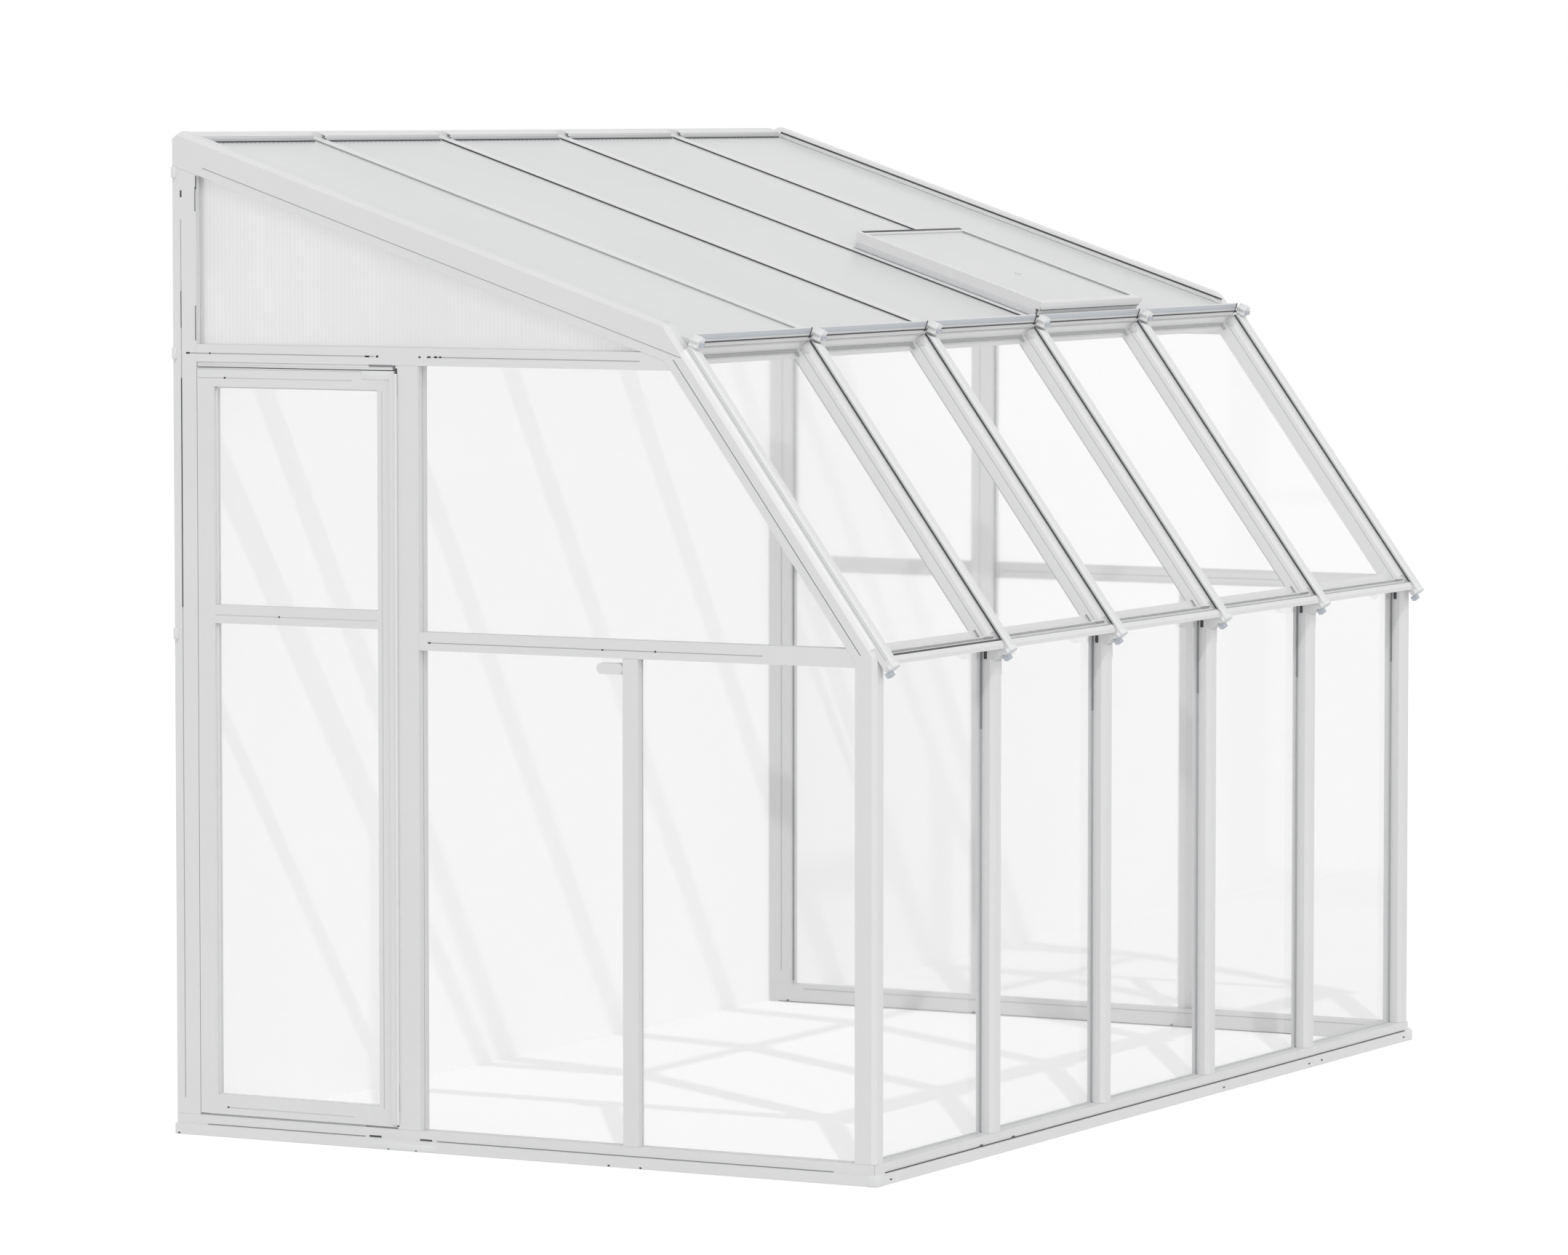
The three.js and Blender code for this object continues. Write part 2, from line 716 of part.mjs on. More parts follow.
const ridgeTop = roofRibDepth + ridgeRise;
const ridgeFace = -(ridgePlate + ridgeLip);
const keeperFoot = panelUnder - ridgeKeeper;
const ridgeOutline = [
  [0, heightAt(roof, 0, 0)], [0, heightAt(roof, ridgeTop, 0)], [ridgeFace, heightAt(roof, ridgeTop, ridgeFace)],
  [ridgeFace, heightAt(roof, panelTop + 2 * fit, ridgeFace)],
  [-ridgePlate, heightAt(roof, panelTop + 2 * fit, -ridgePlate)],
  [-ridgePlate, heightAt(roof, panelUnder - 2 * fit, -ridgePlate)],
  [ridgeFace, heightAt(roof, panelUnder - 2 * fit, ridgeFace)], [ridgeFace, heightAt(roof, keeperFoot, ridgeFace)],
  [-ridgePlate, heightAt(roof, keeperFoot, -ridgePlate)], [-ridgePlate, heightAt(roof, 0, -ridgePlate)],
];
addFramed('ridge_rail', notchRibs(
  sideShape(ridgeOutline, -railEnd, railEnd),
  (x0, x1) => box(x0, x1, -reach, -ridgePlate, -reach, reach),
));

// Gable members

const regionSolid = (end) => sideShape(grow(gableRegion, -fit), end * frameInner, end * frameEnd);

function gableBar(end, y0, y1, z0, z1, x0, x1) {
  return sideShape(rect(y0, y1, z0, z1), end * x0, end * x1).intersect(regionSolid(end));
}

function wallPost(end) {
  return sideShape(rect(-wallPostWidth, 0, footHeight, reach), end * frameInner, end * frameEnd)
    .intersect(inside(roof, -fit, -reach, reach));
}

const railBack = -wallPostWidth - fit;
const barInner = gablePane + paneThickness * half + fit;
addFramed('wall_post_door_end', wallPost(doorEnd));
addFramed('wall_post_far_end', wallPost(farEnd));
addFramed('head_rail_door_end',
  gableBar(doorEnd, -reach, railBack, doorwayHeight, headRailTop, frameInner, frameEnd));
addFramed('head_rail_far_end',
  gableBar(farEnd, -reach, railBack, doorwayHeight, headRailTop, frameInner, frameEnd));
addFramed('door_post',
  gableBar(doorEnd, bayPostFront, bayPostBack, footHeight, doorwayHeight - fit, frameInner, frameEnd));
addFramed('bay_post_far_end',
  gableBar(farEnd, bayPostFront, bayPostBack, footHeight, doorwayHeight - fit, frameInner, frameEnd)
    .subtract(sideShape(
      rect(-reach, reach, midRailSoffit - fit, midRailTop + fit), barInner - fit, frameEnd + fit,
    )));
addFramed('mid_rail_door_end',
  gableBar(doorEnd, -reach, bayPostFront - fit, midRailSoffit, midRailTop, frameInner, frameEnd));
add('mid_rail_far_end',
  gableBar(farEnd, -reach, railBack, midRailSoffit, midRailTop, barInner, frameEnd), framePlastic);
add('mullion_far_end',
  gableBar(farEnd, mullionFront, mullionBack, footHeight, midRailSoffit - fit, barInner, frameEnd), framePlastic);

// Door-end mullion with the small plate that carries the hold-back catch

const catchTop = midRailSoffit - catchDrop;
const catchMiddle = catchTop - catchHeight * half;
const catchY = mullionBack + catchHeight * half + catchGap;
const catchBack = -(gablePane + paneThickness * half + fit);
const catchPlateFace = catchBack - catchPlate;
const mullionInner = gablePane - paneThickness * half - fit - mullionLip;
const mullion = gableBar(
  doorEnd, mullionFront, mullionBack, footHeight, midRailSoffit - fit, mullionInner, frameEnd,
).add(box(
  catchPlateFace, catchBack, mullionBack - catchGap, catchY + catchHeight * half,
  catchTop - catchHeight, catchTop,
));
addFramed('mullion_door_end', mullion);

const catchRadius = catchHeight * half;
const halfTurn = (centre, from) => Array.from({ length: catchSteps + 1 }, (unused, i) => {
  const angle = from + (Math.PI * i) / catchSteps;
  return [centre + catchRadius * Math.cos(angle), catchMiddle + catchRadius * Math.sin(angle)];
});
const catchTip = catchY + catchLength - catchHeight;
const catchOutline = [...halfTurn(catchTip, -Math.PI * half), ...halfTurn(catchY, Math.PI * half)];
add('hold_back_catch', sideShape(
  catchOutline, catchPlateFace - fit, catchPlateFace - fit - catchThickness,
), framePlastic);

// Door leaf with its pane and its hinge bead

const doorHinge = bayPostBack + doorSideGap;
const doorFree = -wallPostWidth - doorSideGap * half;
const doorFoot = baseHeight + doorSillGap;
const doorHead = doorwayHeight - doorHeadGap;
const doorFace = -frameEnd;
const doorBack = doorFace + doorThickness;
const doorShape = outline(rect(doorHinge, doorFree, doorFoot, doorHead));
const lightY0 = doorHinge + stileWidth;
const lightY1 = doorFree - stileWidth;
const lightFoot = doorFoot + doorBottomRail;
const lightHead = doorHead - doorTopRail;
[[lightFoot, doorMidSoffit], [doorMidSoffit + doorMidRail, lightHead]].forEach((span) => {
  doorShape.holes.push(outline(rect(lightY0, lightY1, span[0], span[1])));
});
const doorPaneMiddle = (doorFace + doorBack) * half;
const doorPaneSolid = (gap) => sideShape(
  grow(rect(lightY0, lightY1, lightFoot, lightHead), bite + gap),
  doorPaneMiddle - paneThickness * half - gap, doorPaneMiddle + paneThickness * half + gap,
);
const beadX = doorFace - beadStandoff;
const beadY = bayPostBack - hingeLap;
const bead = new THREE.CylinderGeometry(
  hingeRadius, hingeRadius, doorHead - doorFoot - 2 * hingeEndGap, hingeSegments,
);
bead.rotateX(Math.PI * half);
bead.translate(beadX, beadY, (doorHead + doorFoot) * half);
const hingeFlap = box(
  beadX - hingePlate * half, doorFace + fit, doorHinge, doorHinge + hingeLeaf,
  doorFoot + hingeEndGap, doorHead - hingeEndGap,
).add(box(
  beadX - hingePlate * half, beadX + hingePlate * half, beadY, doorHinge + hingeLeaf,
  doorFoot + hingeEndGap, doorHead - hingeEndGap,
));
add('door_leaf', sideShape(doorShape, doorFace, doorBack)
  .add(solid(bead))
  .add(hingeFlap)
  .subtract(doorPaneSolid(fit)), framePlastic);
add('door_pane', doorPaneSolid(0), clearPane);

// The origin lies on the ground in the middle of the footprint
const frontTip = at(slope, coverFoot, coverTop);
greenhouse.position.y = -frontTip[0] * half;

export default greenhouse;
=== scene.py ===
import bpy, bmesh, math
from mathutils import Matrix, Vector


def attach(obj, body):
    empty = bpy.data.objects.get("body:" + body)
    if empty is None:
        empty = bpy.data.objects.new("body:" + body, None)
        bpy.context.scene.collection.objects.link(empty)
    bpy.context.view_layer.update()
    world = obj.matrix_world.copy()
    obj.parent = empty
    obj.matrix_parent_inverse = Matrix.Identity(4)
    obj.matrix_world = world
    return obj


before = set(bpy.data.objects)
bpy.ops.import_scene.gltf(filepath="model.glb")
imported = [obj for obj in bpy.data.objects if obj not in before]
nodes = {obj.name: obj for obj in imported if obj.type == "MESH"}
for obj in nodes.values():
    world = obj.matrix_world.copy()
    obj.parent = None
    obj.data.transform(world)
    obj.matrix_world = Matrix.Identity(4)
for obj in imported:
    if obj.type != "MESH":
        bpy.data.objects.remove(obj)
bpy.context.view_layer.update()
mm = 0.001

# The photo's standpoint: far off to the door end, a little above the ridge
camera = {
    "place": (-16.941, -8.9627, 2.538),
    "azimuth": -61.769,
    "elevation": 4.037,
    "lens": 171.15,
    "sensor": 36,
    "clip": (0.5, 200),
}


def addCamera(c):
    data = bpy.data.cameras.new("photoCamera")
    data.lens = c["lens"]
    data.sensor_width = c["sensor"]
    data.clip_start, data.clip_end = c["clip"]
    obj = bpy.data.objects.new("photoCamera", data)
    bpy.context.scene.collection.objects.link(obj)
    a, e = math.radians(c["azimuth"]), math.radians(c["elevation"])
    back = Vector((math.sin(a) * math.cos(e), -math.cos(a) * math.cos(e), math.sin(e)))
    obj.location = c["place"]
    obj.rotation_mode = "QUATERNION"
    obj.rotation_quaternion = (-back).to_track_quat("-Z", "Y")
    bpy.context.scene.camera = obj


addCamera(camera)
scene = bpy.context.scene
scene.view_settings.view_transform = "Standard"
print("camera ready")


def linear(hexColour):
    parts = [int(hexColour[i:i + 2], 16) / 255 for i in (1, 3, 5)]
    return tuple(p / 12.92 if p <= 0.04045 else ((p + 0.055) / 1.055) ** 2.4 for p in parts) + (1,)


def addNode(tree, kind, settings=None, links=None):
    node = tree.nodes.new(kind)
    for key, value in (settings or {}).items():
        if isinstance(key, str) and hasattr(node, key):
            setattr(node, key, value)
        else:
            node.inputs[key].default_value = value
    for key, source in (links or {}).items():
        tree.links.new(source, node.inputs[key])
    return node


def newMaterial(name):
    mat = bpy.data.materials.new(name)
    mat.use_nodes = True
    tree = mat.node_tree
    tree.nodes.clear()
    out = addNode(tree, "ShaderNodeOutputMaterial")
    return mat, tree, out


profile = {
    "colour": "#E8E8E8",
    "shade": "#E2E2E3",
    "roughness": (0.38, 0.5),
    "drawLine": 1.1,  # mm between the faint lines that the die leaves
    "drawDepth": 0.012,  # mm
    "drawPull": 1.5,  # how often a line changes in a metre of bar
    "cloud": 3,  # soft patches in a metre, in colour and gloss
    "ior": 1.53,
}


# Extruded rigid vinyl: a satin white skin with faint lines along the pull of the die
def extrudedVinyl(name, along):
    mat, tree, out = newMaterial(name)
    coords = addNode(tree, "ShaderNodeTexCoord")
    stretch = [1 / (profile["drawLine"] * mm)] * 3
    stretch["xyz".index(along)] = profile["drawPull"]
    lines = addNode(tree, "ShaderNodeMapping", {"Scale": stretch},
                    {"Vector": coords.outputs["Object"]})
    grain = addNode(tree, "ShaderNodeTexNoise", {"Scale": 1, "Detail": 2, "Roughness": 0.5},
                    {"Vector": lines.outputs["Vector"]})
    cloud = addNode(tree, "ShaderNodeTexNoise",
                    {"Scale": profile["cloud"], "Detail": 3, "Roughness": 0.6},
                    {"Vector": coords.outputs["Object"]})
    tint = addNode(tree, "ShaderNodeMix", {"data_type": "RGBA", 6: linear(profile["colour"]),
                                           7: linear(profile["shade"])}, {0: cloud.outputs["Fac"]})
    gloss = addNode(tree, "ShaderNodeMapRange", {"To Min": profile["roughness"][0],
                                                 "To Max": profile["roughness"][1]},
                    {"Value": cloud.outputs["Fac"]})
    bump = addNode(tree, "ShaderNodeBump",
                   {"Strength": 0.35, "Distance": profile["drawDepth"] * mm},
                   {"Height": grain.outputs["Fac"]})
    shader = addNode(tree, "ShaderNodeBsdfPrincipled", {"IOR": profile["ior"], "Metallic": 0},
                     {"Base Color": tint.outputs[2], "Roughness": gloss.outputs["Result"],
                      "Normal": bump.outputs["Normal"]})
    tree.links.new(shader.outputs["BSDF"], out.inputs["Surface"])
    return mat


smallPart = {
    "glossSpread": (0.05, 0.07),  # roughness below and above the given one
    "pebbleDepth": 0.05,  # mm
}


# Small parts: one even colour with a fine pebble, whose size is given in mm
def smallPartFinish(name, colour, shade, roughness, pebble):
    mat, tree, out = newMaterial(name)
    below, above = smallPart["glossSpread"]
    coords = addNode(tree, "ShaderNodeTexCoord")
    grit = addNode(tree, "ShaderNodeTexNoise", {"Scale": 1 / (pebble * mm), "Detail": 2},
                   {"Vector": coords.outputs["Object"]})
    tint = addNode(tree, "ShaderNodeMix", {"data_type": "RGBA", 6: linear(colour),
                                           7: linear(shade)}, {0: grit.outputs["Fac"]})
    gloss = addNode(tree, "ShaderNodeMapRange",
                    {"To Min": roughness - below, "To Max": roughness + above},
                    {"Value": grit.outputs["Fac"]})
    bump = addNode(tree, "ShaderNodeBump",
                   {"Strength": 0.3, "Distance": smallPart["pebbleDepth"] * mm},
                   {"Height": grit.outputs["Fac"]})
    shader = addNode(tree, "ShaderNodeBsdfPrincipled", {"Metallic": 0},
                     {"Base Color": tint.outputs[2], "Roughness": gloss.outputs["Result"],
                      "Normal": bump.outputs["Normal"]})
    tree.links.new(shader.outputs["BSDF"], out.inputs["Surface"])
    return mat


sheet = {
    "clear": "#FAFAFA",
    "clearIor": 1.49,
    "clearRoughness": (0.01, 0.03),
    "sunThrough": "#FDFDFD",  # what a clear pane leaves of the sun
    "roof": ("#E3E3E3", "#DBDCDC"),
    "roofPassing": 0.1,
    "gable": ("#FDFDFD", "#F2F2F2"),
    "gablePassing": 0.8,
    "opalThrough": "#F8F8F8",  # what an opal sheet leaves of the sun
    "opalIor": 1.58,
    "opalRoughness": (0.28, 0.42),
    "flute": 11.0,  # mm between the walls of the fluted sheet
    "fluteShare": 0.6,  # of the colour change, the rest is cloudy
}


# Lets the sun and the sky through a sheet, where plain glass would cast a full shadow
def lightThrough(tree, out, shader, colour):
    path = addNode(tree, "ShaderNodeLightPath")
    passing = addNode(tree, "ShaderNodeMath", {"operation": "MAXIMUM"},
                      {0: path.outputs["Is Shadow Ray"], 1: path.outputs["Is Diffuse Ray"]})
    clear = addNode(tree, "ShaderNodeBsdfTransparent", {"Color": linear(colour)})
    mix = addNode(tree, "ShaderNodeMixShader", None,
                  {0: passing.outputs[0], 1: shader.outputs[0], 2: clear.outputs[0]})
    tree.links.new(mix.outputs[0], out.inputs["Surface"])


# Clear cast sheet: almost colourless, sharp reflections, a trace of waviness
def clearSheet(name):
    mat, tree, out = newMaterial(name)
    smoothest, dullest = sheet["clearRoughness"]
    coords = addNode(tree, "ShaderNodeTexCoord")
    wave = addNode(tree, "ShaderNodeTexNoise", {"Scale": 2.5, "Detail": 1},
                   {"Vector": coords.outputs["Object"]})
    bump = addNode(tree, "ShaderNodeBump", {"Strength": 0.05, "Distance": 0.3 * mm},
                   {"Height": wave.outputs["Fac"]})
    gloss = addNode(tree, "ShaderNodeMapRange", {"To Min": smoothest, "To Max": dullest},
                    {"Value": wave.outputs["Fac"]})
    shader = addNode(tree, "ShaderNodeBsdfPrincipled",
                     {"IOR": sheet["clearIor"], "Transmission Weight": 1,
                      "Base Color": linear(sheet["clear"])},
                     {"Normal": bump.outputs["Normal"], "Roughness": gloss.outputs["Result"]})
    lightThrough(tree, out, shader, sheet["sunThrough"])
    return mat


# Opal twin-wall sheet: milky, with the ribs between its two skins showing as fine bands
def flutedSheet(name, across, passing, colour, shade):
    mat, tree, out = newMaterial(name)
    smoothest, dullest = sheet["opalRoughness"]
    coords = addNode(tree, "ShaderNodeTexCoord")
    waveScale = 2 * math.pi / (sheet["flute"] * mm) / 20  # at scale 1 it draws 20 / 2 pi bands
    bands = addNode(tree, "ShaderNodeTexWave",
                    {"wave_type": "BANDS", "bands_direction": across.upper(),
                     "wave_profile": "SIN", "Scale": waveScale, "Distortion": 0},
                    {"Vector": coords.outputs["Object"]})
    cloud = addNode(tree, "ShaderNodeTexNoise", {"Scale": 2, "Detail": 4},
                    {"Vector": coords.outputs["Object"]})
    blend = addNode(tree, "ShaderNodeMath", {"operation": "MULTIPLY", 1: sheet["fluteShare"]},
                    {0: bands.outputs["Fac"]})
    both = addNode(tree, "ShaderNodeMath", {"operation": "ADD"},
                   {0: blend.outputs[0], 1: cloud.outputs["Fac"]})
    tint = addNode(tree, "ShaderNodeMix", {"data_type": "RGBA", 6: linear(colour),
                                           7: linear(shade)}, {0: both.outputs[0]})
    bump = addNode(tree, "ShaderNodeBump", {"Strength": 0.25, "Distance": 0.2 * mm},
                   {"Height": bands.outputs["Fac"]})
    gloss = addNode(tree, "ShaderNodeMapRange", {"To Min": smoothest, "To Max": dullest},
                    {"Value": cloud.outputs["Fac"]})
    shader = addNode(tree, "ShaderNodeBsdfPrincipled",
                     {"IOR": sheet["opalIor"], "Transmission Weight": passing},
                     {"Base Color": tint.outputs[2], "Roughness": gloss.outputs["Result"],
                      "Normal": bump.outputs["Normal"]})
    lightThrough(tree, out, shader, sheet["opalThrough"])
    return mat


stayFinish = {
    "colour": "#C9CCD0",
    "brushed": (900, 12, 900),  # lines in a metre: fine across the bar, long down it
    "roughness": (0.28, 0.45),
}


# Drawn aluminium bar: grey, with fine brushed lines
def drawnAluminium(name):
    mat, tree, out = newMaterial(name)
    smoothest, dullest = stayFinish["roughness"]
    coords = addNode(tree, "ShaderNodeTexCoord")
    lines = addNode(tree, "ShaderNodeMapping", {"Scale": stayFinish["brushed"]},
                    {"Vector": coords.outputs["Object"]})
    grain = addNode(tree, "ShaderNodeTexNoise", {"Scale": 1, "Detail": 2},
                    {"Vector": lines.outputs["Vector"]})
    gloss = addNode(tree, "ShaderNodeMapRange", {"To Min": smoothest, "To Max": dullest},
                    {"Value": grain.outputs["Fac"]})
    shader = addNode(tree, "ShaderNodeBsdfPrincipled",
                     {"Metallic": 1, "Base Color": linear(stayFinish["colour"])},
                     {"Roughness": gloss.outputs["Result"]})
    tree.links.new(shader.outputs["BSDF"], out.inputs["Surface"])
    return mat


vinylX, vinylY, vinylZ = (extrudedVinyl("extrudedVinyl" + a.upper(), a) for a in "xyz")
clearPane = clearSheet("castClearSheet")
flutedRoof = flutedSheet("flutedSheetRoof", "x", sheet["roofPassing"], *sheet["roof"])
flutedGable = flutedSheet("flutedSheetGable", "y", sheet["gablePassing"], *sheet["gable"])
stayMetal = drawnAluminium("drawnAluminium")
# Black, matt and slightly dusty: extruded gasket rubber, and black strips that paint the shadow in
# gaps and steps
gasketAndShadowBlack = smallPartFinish("extrudedGasketAndShadowGap", "#46474A", "#505154", 0.62, 0.8)
# Mid grey and dull: soft vinyl lips drawn onto the white profile, and lines that paint the shade
# in grooves, gaps and beside cover strips
greyLipAndGrooveShade = smallPartFinish("midGreyLipAndShadeLine", "#A9ABAD", "#B2B4B6", 0.55, 0.8)
# The same in pale grey, hardly darker than the profile: pale lips, and lines and a patch that
# paint faint shade in grooves and on a cover strip
paleLipAndShadeLine = smallPartFinish("paleGreyLipAndShadeLine", "#C9CBCD", "#D0D2D3", 0.5, 0.8)
# Rolled vinyl edge: shinier than the flat faces, and painted whiter as a painted highlight
paintedHighlightVinyl = smallPartFinish("rolledEdgePaintedHighlight", "#F8F8F8", "#F1F1F1", 0.34, 2.0)
# Moulded vinyl caps: satin white with a fine pebble
mouldedWhite = smallPartFinish("mouldedVinyl", "#ECECEC", "#E4E5E6", 0.42, 1.5)
# Grey, mottled and quite matt: woven pile brush, and lines that paint the shade in grooves
brushAndGrooveShade = smallPartFinish("pileBrushAndGrooveShadeSeal", "#7C7E81", "#939598", 0.75, 3)
# Pale pile brush: light grey and mottled
paleBrush = smallPartFinish("palePileSeal", "#C6C8CA", "#DEDFE0", 0.7, 3)
# Moulded clips: a pale blue-grey plastic
clipGrey = smallPartFinish("mouldedClip", "#C6CBD2", "#BCC2CA", 0.42, 1.5)
# Foil tape on the sheet ends: pale, bluish, a little shiny
tapeFoil = smallPartFinish("foilEdgeTape", "#CDD1D6", "#C5C9CF", 0.4, 2.0)


def paint(obj, mat):
    obj.data.materials.clear()
    obj.data.materials.append(mat)


# The draw lines of a vinyl bar run along it
def finishOf(name):
    if name.startswith("roof_panel") or name == "vent_pane":
        return flutedRoof
    if "gable_panel" in name:
        return flutedGable
    if "pane" in name:
        return clearPane
    if name == "vent_stay":
        return stayMetal
    if name in ("eave_rail", "knee_rail", "ridge_rail", "base_rail_front", "vent_header"):
        return vinylX
    if "post" in name or "mullion" in name or name == "door_leaf":
        return vinylZ
    return vinylY


for name, obj in nodes.items():
    paint(obj, finishOf(name))
print("materials ready")

# Pieces are laid out in millimetres on three planes: "wall" has Y from the house wall and Z up,
# "window" and "roof" run up the slanted windows and the roof from the knee, with Z outwards.
house = {
    "toWall": 993.292,
    "kneeY": -1376,
    "kneeZ": 1926,
    "windowPitch": 53.8,
    "roofPitch": 18.3,
    "bay": 615,
    "bays": 5,
}


def leaning(pitch):
    a = math.radians(pitch)
    return Matrix(((1, 0, 0, 0),
                   (0, math.cos(a), -math.sin(a), (house["kneeY"] + house["toWall"]) * mm),
                   (0, math.sin(a), math.cos(a), house["kneeZ"] * mm), (0, 0, 0, 1)))


planes = {
    "wall": Matrix.Translation((0, house["toWall"] * mm, 0)),
    "window": leaning(house["windowPitch"]),
    "roof": leaning(house["roofPitch"]),
}
ribX = [(i - house["bays"] / 2) * house["bay"] for i in range(house["bays"] + 1)]


# Low and high corner of a box from its three spans
def box(x, y, z):
    return (min(x), min(y), min(z)), (max(x), max(y), max(z))


# A box whose first span is measured from a rib
def beside(x, spans):
    across, along, height = spans
    return box((x + across[0], x + across[1]), along, height)


# A box from rib to rib, set in from their edges by the part's two insets
def acrossBay(bay, edge, part):
    left, right = ribX[bay] + edge, ribX[bay + 1] - edge
    return box((left + part["inset"][0], right - part["inset"][1]), part["along"], part["height"])


# Boxes on an upright face: each spot is its span in Y, then its span in Z
def onFace(x, spots):
    return [box(x, spot[:2], spot[2:]) for spot in spots]


def pickOnly(*parts):
    bpy.ops.object.select_all(action="DESELECT")
    for part in parts:
        part.select_set(True)
    bpy.context.view_layer.objects.active = parts[0]


def settle(obj):
    pickOnly(obj)
    bpy.ops.object.transform_apply(location=True, rotation=True, scale=True)


def softenEdges(obj, width, steps=2):
    bevel = obj.modifiers.new("softEdge", "BEVEL")
    bevel.width = width * mm
    bevel.segments = steps
    pickOnly(obj)
    bpy.ops.object.modifier_apply(modifier=bevel.name)


thinShare = 0.4  # of the thinnest side, the widest edge that leaves a bar its shape


def addBar(low, high, edge=0.5):
    bpy.ops.object.select_all(action="DESELECT")
    size = [(b - a) * mm for a, b in zip(low, high)]
    middle = [(b + a) * mm / 2 for a, b in zip(low, high)]
    bpy.ops.mesh.primitive_cube_add(size=1, location=middle, scale=size)
    obj = bpy.context.object
    settle(obj)
    softenEdges(obj, min(edge, min(size) / mm * thinShare))
    return obj


def joined(parts):
    if len(parts) > 1:
        pickOnly(*parts)
        bpy.ops.object.join()
    return parts[0]


def putOn(obj, name, plane, mat, body="greenhouse", smooth=35):
    obj.name = obj.data.name = name
    obj.matrix_world = planes[plane] @ obj.matrix_world
    settle(obj)
    bpy.ops.object.shade_smooth_by_angle(angle=math.radians(smooth))
    paint(obj, mat)
    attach(obj, body)
    return obj


def addBars(name, plane, mat, bars, body="greenhouse", edge=0.5):
    parts = [addBar(low, high, edge) for low, high in bars]
    return putOn(joined(parts), name, plane, mat, body)


def repeated(obj, name, shift):
    pickOnly(obj)
    bpy.ops.object.duplicate(linked=False)
    twin = bpy.context.object
    twin.name = twin.data.name = name
    twin.data.transform(Matrix.Translation([v * mm for v in shift]))
    twin.matrix_world = Matrix.Identity(4)
    return twin


# Moves a piece from the middle to the first rib and copies it to the others
def copyToRibs(first, kind, mat):
    first.data.transform(Matrix.Translation((ribX[0] * mm, 0, 0)))
    for i in range(1, len(ribX)):
        twin = repeated(first, f"{kind}_{i + 1}", (i * house["bay"], 0, 0))
        paint(twin, mat)
        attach(twin, "greenhouse")


# Goes into edit mode with the elements that pass the test selected
def pickElements(obj, kind, test):
    pickOnly(obj)
    bpy.ops.object.mode_set(mode="EDIT")
    bpy.ops.mesh.select_mode(type=kind)
    bpy.ops.mesh.select_all(action="DESELECT")
    work = bmesh.from_edit_mesh(obj.data)
    for element in work.faces if kind == "FACE" else work.verts:
        element.select = test(element)
    work.select_flush(True)
    bmesh.update_edit_mesh(obj.data)


def leaveEdit():
    bpy.ops.object.mode_set(mode="OBJECT")


# Seals around the slanted panes, along the roof's channel and at the rails behind the panes.
# "inset" is measured in from the cover strips' edges, to the left and to the right.
windowSeal = {
    "coverEdge": 16,
    "gasketWidth": 2.2,
    "gasket": {"along": (-894, -9), "height": (66.1, 69.8)},
    "firstSill": {"inset": (18, 6), "along": (-894, -889.5), "height": (66.1, 70.3)},
    "sill": {"inset": (18, 6), "along": (-894, -891), "height": (66.1, 69.7)},
    "seat": {"inset": (12, 12), "along": (-878.4, -874.6), "height": (52.2, 56)},
    "seatEnd": ((-62, -10), (-878.8, -874.2), (52.6, 56.6)),
    "channel": {"inset": (14, -4), "along": (-49, -46.6), "height": (59.4, 62.4)},
    "kneeLip": {"inset": (14, 32), "along": (-13, -7.2), "height": (18.4, 26.4)},
    "eaveLip": {"inset": (12, 14), "along": (-858.3, -854.6), "height": (17, 19.6)},
}


def addWindowSeals(w):
    for bay in range(house["bays"]):
        left, right = ribX[bay] + w["coverEdge"], ribX[bay + 1] - w["coverEdge"]
        along, height = w["gasket"]["along"], w["gasket"]["height"]
        across = lambda part: [acrossBay(bay, w["coverEdge"], w[part])]
        addBars(f"window_gasket_{bay + 1}", "window", gasketAndShadowBlack, [
            box((left, left + w["gasketWidth"]), along, height),
            box((right - w["gasketWidth"], right), along, height)])
        sillName = f"window_sill_gasket_{bay + 1}"
        if bay == 0:
            addBars(sillName, "window", gasketAndShadowBlack, across("firstSill"))
        else:
            addBars(sillName, "window", greyLipAndGrooveShade, across("sill"))
        addBars(f"window_seat_gasket_{bay + 1}", "window", brushAndGrooveShade, across("seat"), edge=0.3)
        addBars(f"window_seat_end_{bay + 1}", "window", gasketAndShadowBlack,
                [beside(right, w["seatEnd"])], edge=0.3)
        addBars(f"channel_gasket_{bay + 1}", "roof", gasketAndShadowBlack, across("channel"))
        addBars(f"knee_inner_lip_{bay + 1}", "window", brushAndGrooveShade, across("kneeLip"))
        addBars(f"eave_inner_lip_{bay + 1}", "window", brushAndGrooveShade, across("eaveLip"))


addWindowSeals(windowSeal)
print("window gaskets ready")

# Rounded shoulders along the ribs, between their flat sides and the panes, painted whiter as a
# painted highlight
ribShoulder = {
    "middle": 16,
    "reach": 6,
    "height": 25,
    "axis": 36,
    "cutBelow": 41,
    "span": (-864, -9.5),
    "edges": 32,
    "smooth": 50,
}


